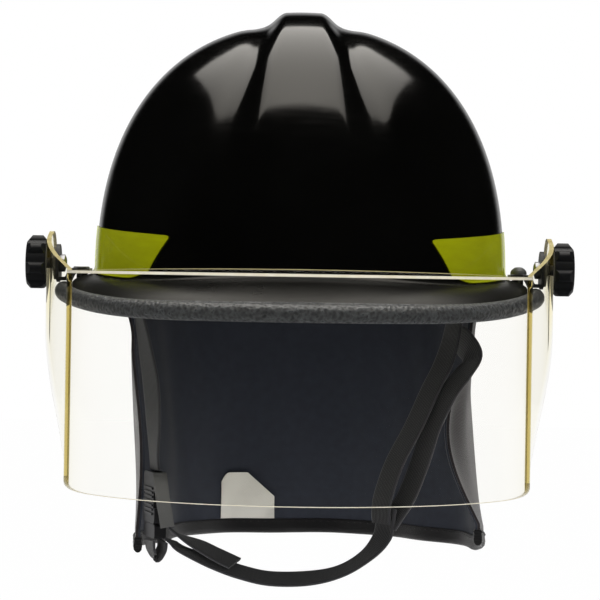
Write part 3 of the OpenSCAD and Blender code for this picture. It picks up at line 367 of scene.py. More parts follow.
# %% [markdown]
# The edge bead is moulded with a coarse leather grain. Its peaks are glossier than the valleys, and they get a
# pale colour that is a painted highlight, glints over the dark valleys. So the grain's height drives colour and
# roughness as well as the bump.

# %% Grained rubber
VALLEY, PAINTED_GLINT = (0.014, 0.015, 0.017), (0.075, 0.08, 0.086)
rubber, tree, shader = start("textured_rubber", IOR=1.8)
grain = use(tree, grain_tree, Place=place_on(tree), Size_in_mm=1.8)
peak_glint_mask = node(tree, "MapRange", {"Value": grain["Height"], "From Min": 0.65, "From Max": 1.25}).outputs[0]
# The pale peaks are painted glints, a painted highlight.
tree.links.new(mix_colour(tree, peak_glint_mask, tone(VALLEY), tone(PAINTED_GLINT)), shader.inputs["Base Color"])
tree.links.new(spread(tree, peak_glint_mask, 0.55, 0.26), shader.inputs["Roughness"])
bump(tree, shader, grain["Height"], 0.5)
finishes["trim"] = rubber
print("made", rubber.name)

# %% [markdown]
# The reflective patches are fluorescent lime sheet with a fine prism pattern under a clear glossy face. A sheen
# of the same colour and a clear coat stand in for the way such sheet flares up when light skims it.

# %% Reflective sheet
DULL_LIME, FRESH_LIME, SKIMMED_LIME = (0.27, 0.29, 0.0), (0.38, 0.42, 0.0), (0.85, 1.0, 0.02)
reflective, tree, shader = start(
    "lime_reflective_sheet", Roughness=0.6, Specular_IOR_Level=0.06, Sheen_Weight=0.8, Sheen_Roughness=0.12,
    Coat_Weight=1.0, Coat_Roughness=0.04, Coat_IOR=1.6,
)
shader.inputs["Sheen Tint"].default_value = tone(SKIMMED_LIME)
place = place_on(tree)
prisms = node(tree, "TexVoronoi", {"Vector": place, "Scale": 420.0}, feature="DISTANCE_TO_EDGE").outputs[0]
marks = use(tree, marks_tree, Place=place)["Marks"]
tree.links.new(mix_colour(tree, marks, tone(DULL_LIME), tone(FRESH_LIME)), shader.inputs["Base Color"])
bump(tree, shader, math(tree, "MINIMUM", prisms, 0.1), 0.05, 0.3)
finishes["reflective"] = reflective
print("made", reflective.name)

# %% [markdown]
# The shield is polycarbonate: clear, hard-coated and a touch amber. The amber hardly shows through the 2.6 mm
# sheet but glows gold where light runs a long way inside it, at the bends. So the colour sits in the volume, and
# the view through the sheet picks it up by itself. The hard coat carries the gloss. The refraction is kept very
# low, because a wing seen almost edge-on would otherwise hide all that lies behind it.

# %% Clear sheet
def clear_finish(name, colour, density, coat):
    material, tree, shader = start(
        name, Transmission_Weight=1.0, IOR=1.004, Metallic=0.0, Roughness=0.0, Coat_Roughness=0.02, Coat_Weight=coat
    )
    marks = use(tree, marks_tree, Place=place_on(tree))["Marks"]
    tree.links.new(mix_colour(tree, marks, (1, 1, 1, 1), (0.97, 0.97, 0.965, 1)), shader.inputs["Base Color"])
    amber = node(tree, "VolumeAbsorption", {"Color": tone(colour), "Density": density})
    tree.links.new(amber.outputs[0], tree.nodes["Material Output"].inputs["Volume"])
    return material


clear = clear_finish("clear_amber_sheet", (0.97, 0.82, 0.15), 12.0, 0.15)
deep_amber = clear_finish("deep_amber_bend", (0.85, 0.79, 0.48), 170.0, 0.0)
finishes["clear_sheet"] = clear
print("made", clear.name, "and", deep_amber.name)


# %% [markdown]
# A cut edge of the sheet gathers the light that travels inside it, and looks more like cream and gold paint
# than like glass. Tracing that light would take thousands of samples. An opaque finish with fine streaks, on
# the narrow faces of the edges only, paints the same lines in at once: a painted gold glow of that light on the
# cut edges, and a painted cream highlight on the crease under the lip and along the bottom edge.

# %% Painted light on the edges of the clear sheet
def painted_edge_light_finish(name, dark, light):
    material, tree, shader = start(name, Roughness=0.3, Coat_Weight=0.5, Coat_Roughness=0.1)
    streak = node(tree, "TexNoise", {"Vector": place_on(tree), "Scale": 160.0, "Detail": 4.0}).outputs[0]
    tree.links.new(mix_colour(tree, streak, tone(dark), tone(light)), shader.inputs["Base Color"])
    return material


# The gold streaks are a painted glow of light inside the sheet, the cream ones a painted highlight.
painted_edge_glow = painted_edge_light_finish("painted_amber_edge_glow", (0.34, 0.27, 0.09), (0.72, 0.64, 0.34))
painted_cream_highlight = painted_edge_light_finish("painted_cream_edge_highlight", (0.8, 0.72, 0.5), (1.0, 0.98, 0.88))
print("made", painted_edge_glow.name, "and", painted_cream_highlight.name)


# %% [markdown]
# Webbing and cloth read their weave from the run vector. Webbing gets a painted highlight along its two
# selvedges, a paler colour where the ribs turn over and catch the light. Cloth has a fibre sheen that lifts its
# grazing edges.

# %% Woven finishes
def webbing_finish(name, colour, half_width):
    material, tree, shader = start(name, Roughness=0.72, Sheen_Weight=0.25, Sheen_Roughness=0.5)
    run = node(tree, "Attribute", attribute_name="run").outputs["Vector"]
    weave = use(tree, web_tree, Run=run)
    side = math(tree, "ABSOLUTE", node(tree, "SeparateXYZ", {0: run}).outputs[1])
    selvedge_highlight_ramp = {"Value": side, "From Min": half_width - 1.7, "From Max": half_width - 0.7}
    selvedge_highlight = node(tree, "MapRange", selvedge_highlight_ramp).outputs[0]
    ribs = mix_colour(tree, weave["Height"], tone(colour, 0.75), tone(colour, 1.25))
    # The paler selvedges are a painted highlight.
    tree.links.new(mix_colour(tree, selvedge_highlight, ribs, tone(colour, 5)), shader.inputs["Base Color"])
    bump(tree, shader, weave["Height"], 0.2)
    return material


def cloth_finish(name, colour, thread_mm, depth_mm, rough=0.85, sheen=0.3, vary=0.35):
    material, tree, shader = start(name, Roughness=rough, Sheen_Weight=sheen, Sheen_Roughness=0.45)
    run = node(tree, "Attribute", attribute_name="run").outputs["Vector"]
    weave = use(tree, twill_tree, Run=run, Thread_in_mm=thread_mm)
    tint = mix_colour(tree, weave["Slubs"], tone(colour, 1 - vary), tone(colour, 1 + vary))
    tree.links.new(tint, shader.inputs["Base Color"])
    bump(tree, shader, weave["Height"], depth_mm)
    return material


STRAP_W = 19.0
finishes["webbing"] = webbing_finish("black_webbing", (0.007, 0.007, 0.0078), STRAP_W / 2)
finishes["outer_cloth"] = cloth_finish("outer_twill", (0.028, 0.023, 0.025), 0.9, 0.05)
finishes["lining_cloth"] = cloth_finish("lining_knit", (0.03, 0.035, 0.05), 0.7, 0.025, sheen=0.12)
finishes["binding_cloth"] = cloth_finish("bias_tape", (0.009, 0.0085, 0.009), 0.8, 0.08)
finishes["label_cloth"] = cloth_finish("satin_label", (0.76, 0.74, 0.67), 0.5, 0.02, 0.5, 0.1, 0.05)
finishes["padding"] = cloth_finish("brushed_pad_fabric", (0.012, 0.012, 0.013), 1.4, 0.12)
finishes["thread"] = cloth_finish("sewing_thread", (0.02, 0.018, 0.02), 0.4, 0.05)
print("finishes:", len(finishes))

# %% [markdown]
# Nodes whose CAD shape is final keep it. Each takes the finish of its slot in the record, and the screws get
# their darker zinc. Nodes that a finer piece replaces are hidden later by that piece.

# %% Dress the CAD nodes
slots = {row["node"]: row["material_slot"] for row in frame["record"]["subparts"]}
for name, solid in frame["nodes"].items():
    solid.data.materials.clear()
    solid.data.materials.append(finishes["dark_steel" if name == "bracket_screws" else slots[name]])
print("dressed", len(slots), "nodes")

# %% [markdown]
# The shell is a dome over a brim. Its plan is a superellipse, squarer than an ellipse, and its height follows
# another one. A flat-topped ridge runs front to back, with a shallow valley on each side. The surface mirrors
# the softbox, so it needs far more points than the CAD solid: 360 columns, from the brim's edge to the crown.

# %% Plan, rim and brim of the shell
DOME = {"half_w": 118.5, "front": 134.0, "rear": 140.0}
DOME_H, DOME_N, PLAN_N, WALL = 147.0, 2.3, 2.1, 3.0
RIM_SIDE, RIM_FRONT, RIM_REAR, RIM_DIP = 17.0, 17.0, 18.0, 3
DOME_TOP = RIM_SIDE + DOME_H
BRIM_HALF_W, BRIM_FRONT, BRIM_REAR, BRIM_BULGE = 137.5, 168.5, 181.0, 2.6
EDGE_SIDE, EDGE_FRONT, EDGE_REAR = 7.5, -1.5, -4.0


def power(v, e):
    return -((-v) ** e) if v < 0 else v**e


def plan(f, half_w, front, rear, n):
    s, c = sin(radians(f)), cos(radians(f))
    return np.array([half_w * power(s, 2 / n), -(front if c > 0 else rear) * power(c, 2 / n)])


def plan_normal(f, half_w, front, rear, n):
    d = plan(f + 0.5, half_w, front, rear, n) - plan(f - 0.5, half_w, front, rear, n)
    return unit(np.array([d[1], -d[0], 0]))


def rim_z(f):
    c = cos(radians(f))
    end = RIM_FRONT if c > 0 else RIM_REAR
    return RIM_SIDE + (end - RIM_SIDE) * c * c - RIM_DIP * sin(radians(2 * f)) ** 2


def edge_z(f):
    c = cos(radians(f))
    return lerp(EDGE_SIDE, EDGE_FRONT if c > 0 else EDGE_REAR, smooth(abs(c) / 0.9))


def root(f, w):
    return np.append(plan(f, DOME["half_w"] - w, DOME["front"] - w, DOME["rear"] - w, PLAN_N), rim_z(f) - w)


def edge(f, w):
    u = WALL / 2 - w
    out = 0.6 * u
    return np.append(plan(f, BRIM_HALF_W + out, BRIM_FRONT + out, BRIM_REAR + out, 2), edge_z(f) + 0.8 * u)


def brim(f, b, w):
    return lerp(edge(f, w), root(f, w), b) + np.array([0, 0, 4 * BRIM_BULGE * b * (1 - b)])


print("brim reaches", BRIM_HALF_W, "mm to each side and", BRIM_REAR, "mm to the rear")

# %% [markdown]
# The ridge stiffens the crown and carries its flat top from front to back. It could be a piece of its own, but
# the real one is moulded in, so here it only pushes the dome's points outwards. Its width grows and its height
# fades towards the front and the rear.

# %% Dome and ridge
RIDGE_FOOT, RIDGE_HALF_W, RIDGE_SPREAD, RIDGE_FLANK, RIDGE_H = 62, 9, 20, 13, 6.6


def bare_dome(f, t, w):
    k, p = max(0.0, cos(radians(t))) ** (2 / DOME_N), root(f, w)
    z0 = rim_z(f) - w
    return np.array([p[0] * k, p[1] * k, z0 + (DOME_TOP - w - z0) * sin(radians(t)) ** (2 / DOME_N)])


def climb(share):
    """The angle up the dome at which a share of its height is reached."""
    s = clamp(share) ** (DOME_N / 2)
    return degrees(atan2(s, sqrt(max(0.0, 1 - s * s))))


def dome_t(f, z, w):
    z0 = rim_z(f) - w
    return climb((z - z0) / (DOME_TOP - w - z0))


def ridge(x, z, w):
    u = clamp((z - RIDGE_FOOT) / (DOME_TOP - 8 - RIDGE_FOOT))
    flat = RIDGE_HALF_W + RIDGE_SPREAD * (1 - u)
    base = flat + RIDGE_FLANK * (1.6 - 0.6 * u)
    valley = exp(-(((abs(x) - base - 5) / 6) ** 2))
    rise = RIDGE_H * smooth(u * 1.25) * smooth((base - abs(x)) / (base - flat))
    return rise - (0 if w > 0 else smooth(u) * valley)


def dome(f, t, w):
    p = bare_dome(f, t, w)
    n = unit(np.array([p[0] / DOME["half_w"] ** 2, p[1] / DOME["rear"] ** 2, (p[2] - RIM_SIDE) / DOME_H**2]))
    return p + n * ridge(p[0], p[2], w)


print("dome top at", DOME_TOP, "mm")

# %% [markdown]
# Dome and brim meet in a small fillet. A bevel would need sharp edges to start from, so the fillet is part of
# the surface formula: s runs from -1 on the brim through 0 at the foot of the dome to 1 at the crown.

# %% Fillet and the whole surface
FILLET_R = 5.0
FILLET_T = climb(FILLET_R / DOME_H)


def shell_surface(f, s, w):
    if s >= 0:
        return dome(f, lerp(FILLET_T, 90, s), w)
    span = np.linalg.norm(root(f, w) - edge(f, w))
    a, b, c = brim(f, 1 - FILLET_R / span, w), root(f, w) + np.array([0, 0, 0.8]), dome(f, FILLET_T, w)
    return lerp(lerp(a, b, 1 + s), lerp(b, c, 1 + s), 1 + s)


def shell_normal(f, s):
    around = shell_surface(f + 0.5, s, 0) - shell_surface(f - 0.5, s, 0)
    upward = shell_surface(f, s + 0.004, 0) - shell_surface(f, s - 0.004, 0)
    return unit(np.cross(around, upward))


print("fillet starts at", round(FILLET_T, 2), "degrees")

# %% [markdown]
# The wall is one closed skin: from the crown down the inside, out under the brim, round its edge, and back over
# the outside to the crown. A Solidify modifier would thicken the edge wrongly, so both faces are made. Each ring
# also says how far it belongs to the brim, which becomes the point value that the lacquer reads.

# %% Build the shell
COLUMNS = range(360)


def brim_end(f, k):
    return lerp(brim(f, 0, WALL), brim(f, 0, 0), k) + 0.5 * unit(edge(f, 0) * [1, 1, 0])


inner_dome = [(0, s) for s in np.linspace(0.97, 0, 14)] + [(0.5, -0.5), (1, -1)]
outer_fillet = [(-s, s) for s in np.linspace(-1, 0, 7)[:-1]]
outer_dome = [(0, s) for s in [*np.linspace(0, 0.9, 44), 0.925, 0.95, 0.975, 0.99]]
graded = [(share, [shell_surface(f, s, WALL) for f in COLUMNS]) for share, s in inner_dome]
graded += [(1, [brim(f, b, WALL) for f in COLUMNS]) for b in (0.8, 0.5, 0.25, 0.02)]
graded += [(1, [brim_end(f, k) for f in COLUMNS]) for k in (0.2, 0.8)]
graded += [(1, [brim(f, b, 0) for f in COLUMNS]) for b in np.linspace(0.02, 0.78, 9)]
graded += [(share, [shell_surface(f, s, 0) for f in COLUMNS]) for share, s in outer_fillet + outer_dome]
crowns = [dome(0, 90, WALL), dome(0, 90, 0)]
points = [p for share, ring in graded for p in ring] + crowns
around, last = len(COLUMNS), len(graded) * len(COLUMNS)
faces = skin_faces(len(graded), around, caps=False)
faces += [((j + 1) % around, j, last) for j in COLUMNS]
faces += [(last - around + j, last - around + (j + 1) % around, last + 1) for j in COLUMNS]
shell = piece("shell", points, faces, "helmet", "shell", finishes["shell"], ["outer_shell"], sharp=60)
shares = np.append(np.repeat([share for share, ring in graded], around), [0, 0])
shell.data.attributes.new("brim", "FLOAT", "POINT").data.foreach_set("value", shares.astype(np.float32))

# %% [markdown]
# A rubber bead is pushed over the brim's edge. On the real helmet its face is coarse and slightly waxy. It is
# one C-shaped section swept round the edge, with two lips that grip the brim above and below.

# %% Rubber edge trim
BEAD_R, LIP_GAP, LIP_STEPS, SLOT_DEPTH = 5.0, 0.16, (0.17, 0.09), 0.4
rows = []
for f in COLUMNS:
    c, inward = edge(f, WALL / 2), brim(f, 0.12, WALL / 2)
    out = unit(c - inward)
    up = unit(np.array([0, 0, 1.0]) - out[2] * out)
    ring = [c + BEAD_R * (cos(radians(a)) * out + sin(radians(a)) * up) for a in np.linspace(155, -155, 23)]
    ring += [brim(f, b, WALL + LIP_GAP) for b in LIP_STEPS]
    ring += [edge(f, w) + SLOT_DEPTH * out for w in (WALL + LIP_GAP, -LIP_GAP)]
    ring += [brim(f, b, -LIP_GAP) for b in LIP_STEPS[::-1]]
    rows.append(ring)
swept("trim", rows, "helmet", "trim", finishes["trim"], ["edge_trim"], sharp=50, loop=True)


# %% [markdown]
# Four patches of reflective sheet follow the fillet between dome and brim, two at the front corners and two
# behind. A square grid is pressed into a rounded rectangle first, so that the corners come out round, and is
# then laid on the shell, 0.4 to 1 mm proud.

# %% Reflective patches
PATCH_LOW_Z, PATCH_RISE, PATCH_LIFTS = 38.5, 6.5, (1.0, 0.4)


def rounded(u, v, r):
    x, y = 2 * u - 1, 2 * v - 1
    reach = max(abs(x), abs(y))
    if reach < 1e-9:
        return u, v
    ex, ey = x / reach, y / reach
    cx, cy = abs(ex) - (1 - r[0]), abs(ey) - (1 - r[1])
    if cx > 0 and cy > 0:
        angle = atan2(cy / r[1], cx / r[0])
        ex = (1 if ex > 0 else -1) * (1 - r[0] + r[0] * cos(angle))
        ey = (1 if ey > 0 else -1) * (1 - r[1] + r[1] * sin(angle))
    return (ex * reach + 1) / 2, (ey * reach + 1) / 2


def patch_point(f_low, f_high, slant, u, v, lift):
    f = lerp(lerp(f_low + slant, f_low, v), lerp(f_high - slant, f_high, v), u)
    top = PATCH_LOW_Z + min(PATCH_RISE, PATCH_RISE * (f - f_low) / 50)
    s_top = (dome_t(f, top, 0) - FILLET_T) / (90 - FILLET_T)
    s = lerp(-0.65, 0, v * 2) if v < 0.5 else lerp(0, s_top, v * 2 - 1)
    return shell_surface(f, s, 0) + lift * shell_normal(f, s)


def patch(node_name, f_low, f_high, slant, mirror):
    n, m = 48, 20
    points, faces = [], []
    for lift in PATCH_LIFTS:
        for i in range(n + 1):
            for j in range(m + 1):
                u, v = rounded(i / n, j / m, (0.05, 0.1))
                p = patch_point(f_low, f_high, slant, u, v, lift)
                points.append(p * [-1, 1, 1] if mirror else p)
    size = (n + 1) * (m + 1)
    for i in range(n):
        for j in range(m):
            a, b, c, d = [k * (m + 1) + q for k, q in ((i, j), (i + 1, j), (i + 1, j + 1), (i, j + 1))]
            faces += [(a, b, c, d), (d + size, c + size, b + size, a + size)]
    rim = [i * (m + 1) for i in range(n + 1)] + [n * (m + 1) + j for j in range(1, m + 1)]
    rim += [i * (m + 1) + m for i in range(n - 1, -1, -1)] + [j for j in range(m - 1, 0, -1)]
    faces += [(rim[k], rim[k - 1], rim[k - 1] + size, rim[k] + size) for k in range(len(rim))]
    if mirror:
        faces = [face[::-1] for face in faces]
    piece(f"{node_name}_sheet", points, faces, "helmet", "reflective", finishes["reflective"], [node_name])


for end, f_low, f_high, slant in (("front", 35.5, 101, 15), ("rear", 118, 166, 9)):
    for side, mirror in (("right", False), ("left", True)):
        patch(f"patch_{end}_{side}", f_low, f_high, slant, mirror)

# %% [markdown]
# The shield is one bent sheet. Seen from above it is a half ellipse in front with a straight wing each side, and
# seen from the side each wing rises into a round ear on the pivot. So it is made in columns along that plan
# line: each column runs from the bottom edge to the top edge, which are read from the side outline.

# %% Outlines of the shield
SHEET_T, EAR_X, BEND_X, BEND_Y, FRONT_Y = 2.6, 145.34, 126.9, -103.0, -188.0
PIVOT, EAR_R = np.array([-12.0, 23.0]), 18.5
SHIELD_TOP, SHIELD_LOW = 19.0, -101.0


def curve(a, b, c, steps):
    a, b, c = (np.array(p, float) for p in (a, b, c))
    return [lerp(lerp(a, b, t), lerp(b, c, t), t) for t in np.linspace(0, 1, steps)]


def ear_arc(start, end, steps):
    return [PIVOT + EAR_R * np.array([cos(radians(a)), sin(radians(a))]) for a in np.linspace(start, end, steps)]


wing = [np.array([EAR_X, PIVOT[0] + EAR_R * sin(radians(a))]) for a in np.linspace(86, -44, 26)]
wing += curve((EAR_X, -26), (EAR_X, -44), (137.2, -70), 24)
wing += curve((137.2, -70), (133, -81.7), (129, -93), 12)[1:]
wing += curve((129, -93), (BEND_X, -98), (BEND_X, BEND_Y), 12)[1:]
quarter = np.linspace(0, pi / 2, 131)[1:]
wing += [np.array([BEND_X * cos(a), BEND_Y + (FRONT_Y - BEND_Y) * sin(a)]) for a in quarter]
shield_line = wing + [p * [-1, 1] for p in wing[-2::-1]]
lip_end = np.array([BEND_Y + 3, SHIELD_TOP + 0.3])
reach = PIVOT - lip_end
lean = degrees(atan2(reach[1], reach[0])) + degrees(atan2(EAR_R, sqrt(reach @ reach - EAR_R**2)))
top_line = [np.array([BEND_Y, SHIELD_TOP]), lip_end] + ear_arc(90 + lean, 0, 40)
corner = (BEND_Y + 4, SHIELD_LOW + 13)
low_line = ear_arc(0, -50, 20)
low_line += curve(low_line[-1], (-58, -26), corner, 30)[1:]
low_line += curve(corner, (corner[0] - 3, SHIELD_LOW + 2.6), (FRONT_Y + 40, SHIELD_LOW + 1.6), 24)[1:]
low_line.append(np.array([FRONT_Y - 12, SHIELD_LOW]))
print("shield plan has", len(shield_line), "columns")

# %% [markdown]
# In front, the top edge turns back in a small lip. The rows of each column crowd together where something
# narrow shows: a strip at the bottom edge, the crease under the lip, and the cut edge at the top. Those faces
# then take the painted edge light, a gold glow on the top cut and the lip's rim and a cream highlight on the
# bottom strip, the crease and the bottom cut, both painted, and the rest stays clear.

# %% Clear face shield
LIP_D, LIP_H, STRIP_H, CREASE_H = 4.5, 2.4, 0.45, 1.5
BOTTOM_STRIP, CREASE, LIP_RIM, TOP_CUT, BOTTOM_CUT = 0, 21, (27, 28, 29), 30, 61


def height_at(outline, y):
    table = sorted((p[0], p[1]) for p in outline)
    return float(np.interp(y, [p[0] for p in table], [p[1] for p in table]))


def outward(before, after):
    d = after - before
    return unit(np.array([-d[1], d[0]]))


def shield_ring(i):
    p = shield_line[i]
    q = outward(shield_line[max(0, i - 1)], shield_line[min(len(shield_line) - 1, i + 1)])
    front = p[1] <= BEND_Y + 0.01
    share = max(0.03, 1 - (p[0] / BEND_X) ** 2) if front else 0.0
    low, top = height_at(low_line, p[1]), SHIELD_TOP if front else height_at(top_line, p[1])
    near = min(1.0, (top - low) / 8)
    column = [(low, 0.0)]
    column += [(lerp(low + STRIP_H * near, top - 2.6 * near, k), 0.0) for k in np.linspace(0, 1, 20)]
    column.append((top - CREASE_H * near, 0.0))
    if front:
        column.append((top, 0.0))
        turn = np.linspace(0, pi / 2, 9)[1:]
        column += [(top + LIP_H * share * sin(a), LIP_D * share * (1 - cos(a))) for a in turn]
    else:
        column += [(top - CREASE_H * near * (1 - k / 9), 0.0) for k in range(1, 10)]
    skin = [(inset, z) for z, inset in column] + [(inset + SHEET_T, z) for z, inset in column[::-1]]
    return [[p[0] - q[0] * inset, p[1] - q[1] * inset, z] for inset, z in skin]


rows = [shield_ring(i) for i in range(len(shield_line))]
shield = swept("shield_sheet", rows, "face_shield", "clear_sheet", clear, ["face_shield"], sharp=40)
shield.data.materials.append(painted_edge_glow)
shield.data.materials.append(painted_cream_highlight)
# Gold on these faces is a painted glow, and cream a painted highlight.
for face in shield.data.polygons[: (len(rows) - 1) * len(rows[0])]:
    column, row = divmod(face.index, len(rows[0]))
    front = shield_line[column][1] < BEND_Y - 1 and shield_line[column + 1][1] < BEND_Y - 1
    if row == TOP_CUT or (front and row in LIP_RIM):
        face.material_index = 1
    elif row == BOTTOM_STRIP or (front and row in (CREASE, BOTTOM_CUT)):
        face.material_index = 2
shield.visible_shadow = False

# %% [markdown]
# Where the sheet turns into a wing it was heated and drawn, and a viewer in front looks along 20 mm of it. That
# bend reads as a strong gold band. A slim core of deeper amber, wholly inside the sheet's thickness, gives the
# band from the front and stays faint from the side, as the real bend does. It thins out towards both ends.

# %% Amber bends
CORE_FROM, CORE_TO = -121, -97


def bend_core(name, sign):
    low, high, rows = SHIELD_LOW + 4, SHIELD_TOP - 0.6, []
    for before, p, after in zip(shield_line, shield_line[1:], shield_line[2:]):
        if not (CORE_FROM < p[1] < CORE_TO and p[0] > 0):
            continue
        q = outward(before, after)
        q = q if q @ p > 0 else -q
        half = 0.05 + 0.95 * sqrt(sin(pi * (p[1] - CORE_FROM) / (CORE_TO - CORE_FROM)))
        inner, outer = SHEET_T / 2 - half, SHEET_T / 2 + half
        section = ((inner, low), (inner, high), (outer, high), (outer, low))
        rows.append([[sign * (p[0] - q[0] * inset), p[1] - q[1] * inset, z] for inset, z in section])
    core = swept(name, rows, "face_shield", "clear_sheet", deep_amber, sharp=40)
    core.visible_shadow = False


bend_core("shield_bend_left", -1)
bend_core("shield_bend_right", 1)


# %% [markdown]
# Webbing is a flat woven tape. Each strap is one smooth route through a few stops, and each stop says where
# the middle is and which way the width points. The section is a flat bar with rounded selvedges.

# %% Webbing helper
def spline(a, b, c, d, t):
    return 0.5 * (2 * b + (c - a) * t + (2 * a - 5 * b + 4 * c - d) * t**2 + (3 * b - a - 3 * c + d) * t**3)


def route(stops, item, steps):
    n = len(stops)
    at = [np.array(stop[item], float) for stop in stops]
    found = []
    for i in range(n - 1):
        a, b, c, d = (at[min(n - 1, max(0, k))] for k in (i - 1, i, i + 1, i + 2))
        found += [spline(a, b, c, d, k / steps) for k in range(steps)]
    return found + [at[-1]]


def webbing(name, stops, replaced, body="helmet", width=STRAP_W, thick=1.6, steps=9, finish="webbing"):
    middle, across = route(stops, 0, steps), route(stops, 1, steps)
    r, w = thick / 2, width / 2
    section = [(w - r * 0.8 + r * 0.8 * cos(a), r * sin(a)) for a in np.linspace(pi / 2, -pi / 2, 7)]
    section += [(u, -r) for u in np.linspace(w - 2, -w + 2, 6)] + [(-u, -v) for u, v in section]
    section += [(u, r) for u in np.linspace(-w + 2, w - 2, 6)]
    rows, run, walked = [], [], 0.0
    for i, p in enumerate(middle):
        along = unit(middle[min(len(middle) - 1, i + 1)] - middle[max(0, i - 1)])
        side = unit(across[i] - (across[i] @ along) * along)
        up = np.cross(along, side)
        walked += np.linalg.norm(p - middle[i - 1]) if i else 0
        rows.append([p + side * u + up * v for u, v in section])
        run += [(walked, u, v) for u, v in section]
    made = swept(name, rows, body, finish, finishes[finish], replaced, run, sharp=50)
    print(name, "is", round(walked), "mm long")
    return made


print("webbing is", STRAP_W, "mm wide")

# %% [markdown]
# The inner cap gives the straps their anchors, so its inner face is worked out as in the CAD model. The chin
# strap has one leg on the buckle's side and two on the other, a lower run with its free tail, and a short fold
# through the buckle's bar. The lower run is taken off the helmet's body and kept where it hangs.

# %% Chin strap
LINER_W, CAP_IN, ANCHOR_HEIGHTS, ANCHOR_INSET = 3.6, 22.2, (34, 20), 2.05
CHEEK, FACING = (0.3, -0.95, 0), (-0.5, 0.87, 0)


def cap_normal(f):
    return plan_normal(f, DOME["half_w"] - CAP_IN, DOME["front"] - CAP_IN, DOME["rear"] - CAP_IN, PLAN_N)


def cap_face(f, z, inset):
    return bare_dome(f, dome_t(f, z, CAP_IN), CAP_IN) - inset * cap_normal(f)


def across_of(n):
    return np.array([-n[1], n[0], 0])


def strap_root(f):
    return [(cap_face(f, z, ANCHOR_INSET), across_of(cap_normal(f))) for z in ANCHOR_HEIGHTS]


webbing("chin_left", strap_root(282.5) + [
    ((-92, -29, -2), (0.25, -0.95, 0)), ((-88, -33.5, -24), (0.4, -0.9, 0)), ((-84, -37, -45), (0.5, -0.87, 0)),
    ((-82.2, -38, -66), (0.45, -0.9, 0)), ((-81.6, -38, -84), CHEEK), ((-80.8, -38, -94), CHEEK),
], ["chin_strap_left"])
webbing("chin_right_front", strap_root(75) + [
    ((89.5, -33, 2), (-0.25, 0.95, 0)), ((86.8, -42, -15), (-0.4, 0.9, 0)), ((82, -46, -31), FACING),
    ((75.1, -49, -45), FACING), ((65.8, -51, -66), FACING), ((55.4, -52, -86.4), FACING),
    ((49.2, -52, -105), FACING), ((47.9, -51.8, -115), FACING), ((48.3, -51.6, -121.5), FACING),
], ["chin_strap_right_front"])
webbing("chin_right_rear", strap_root(101) + [
    ((91.5, 9, -2), (0, 0.75, -0.65)), ((91.4, -14, -12), (0, 0.4, -0.9)), ((91.5, -35, -17), (0, 0.4, -0.9)),
    ((95.2, -50, -21), (-0.2, 0.5, -0.8)), ((98, -57, -28), (-0.45, 0.75, -0.3)), ((92.5, -58, -36), FACING),
    ((84.5, -57, -47), FACING), ((75.5, -55, -66), FACING), ((69.5, -54.5, -86), FACING),
    ((62.4, -54, -105), FACING), ((56, -53.2, -116), FACING), ((52.3, -53, -122), FACING),
], ["chin_strap_right_rear"])
webbing("chin_tail", [
    ((-70.6, -46.5, -128.2), FACING), ((-62.6, -48.6, -131.6), (-0.2, 0.93, 0.1)),
    ((-54, -51.5, -135.4), (0, 0.95, 0.2)), ((-45, -54.5, -139.8), (0.05, 0.95, 0.25)),
    ((-34, -57.5, -144.6), (0.1, 0.95, 0.26)),
], ["chin_strap_tail"], "buckle_tongue")
webbing("chin_fold", [
    ((-83, -39, -134.2), CHEEK), ((-82.4, -39.2, -139.2), CHEEK), ((-79.4, -39.6, -143.6), CHEEK),
    ((-76.4, -40, -139.2), CHEEK), ((-75.8, -40.2, -134.2), CHEEK),
], ["chin_strap_fold"], "buckle_tongue")
lower = webbing("chin_lower", [
    ((51.6, -52.2, -112), FACING), ((50.5, -52.2, -119.5), FACING), ((48.6, -52.3, -129), FACING),
    ((40.5, -54, -139), (-0.4, 0.87, 0)), ((26, -57, -147.8), (-0.2, 0.93, 0.15)),
    ((8, -59, -152), (0, 0.95, 0.28)), ((-14, -59, -152.6), (0, 0.95, 0.28)),
    ((-31, -57, -149.4), (0.1, 0.95, 0.25)), ((-45, -53.5, -145), (0.2, 0.93, 0.2)),
    ((-58, -49, -140.4), (0.15, 0.97, 0.1)), ((-66, -43.6, -137.2), (0.05, 1, 0)), ((-71.2, -41, -134), (0, 1, 0)),
], ["chin_strap_lower"])
lower.parent = None
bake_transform(lower)
webbing("grey_tag", [
    ((-77.5, -50.6, -95), (1, 0.1, 0)), ((-76.6, -53.6, -100), (1, 0, 0)), ((-75.2, -54.4, -110), (1, 0, 0)),
    ((-73.6, -55.2, -118), (1, 0, 0)), ((-72.4, -56.4, -125), (1, 0, 0.1)),
], ["strap_tag"], width=8, thick=1, finish="tag_plastic")

# %% [markdown]
# Three webbing straps cross over the head. They hang from clips on the cap, each in its own low arch.

# %% Crown straps
CROWN_Z, LAYER_RISE, CLIP_ABOVE_RIM, CLIP_INSET = 122, 2.4, 13, 5.2


def liner_rim_z(f):
    return 18 + 13 * smooth((-cos(radians(f)) - 0.35) / 0.5)


def crown_strap(name, node_name, f, layer):
    za, zb = liner_rim_z(f) + CLIP_ABOVE_RIM, liner_rim_z(f + 180) + CLIP_ABOVE_RIM
    a, b = cap_face(f, za, CLIP_INSET), cap_face(f + 180, zb, CLIP_INSET)
    middle, half, top, stops = (a + b) / 2, (a - b) / 2, CROWN_Z + layer * LAYER_RISE, []
    for t in range(0, 181, 15):
        c = cos(radians(t))
        end = across_of(cap_normal(f)) if c > 0 else -across_of(cap_normal(f + 180))
        low = lerp(zb, za, (1 + c) / 2)
        at = np.array([middle[0] + half[0] * c, middle[1] + half[1] * c, low + (top - low) * sin(radians(t))])
        stops.append((at, lerp(across_of(unit(half)), end, c**4)))
    webbing(name, stops, [node_name], steps=5)


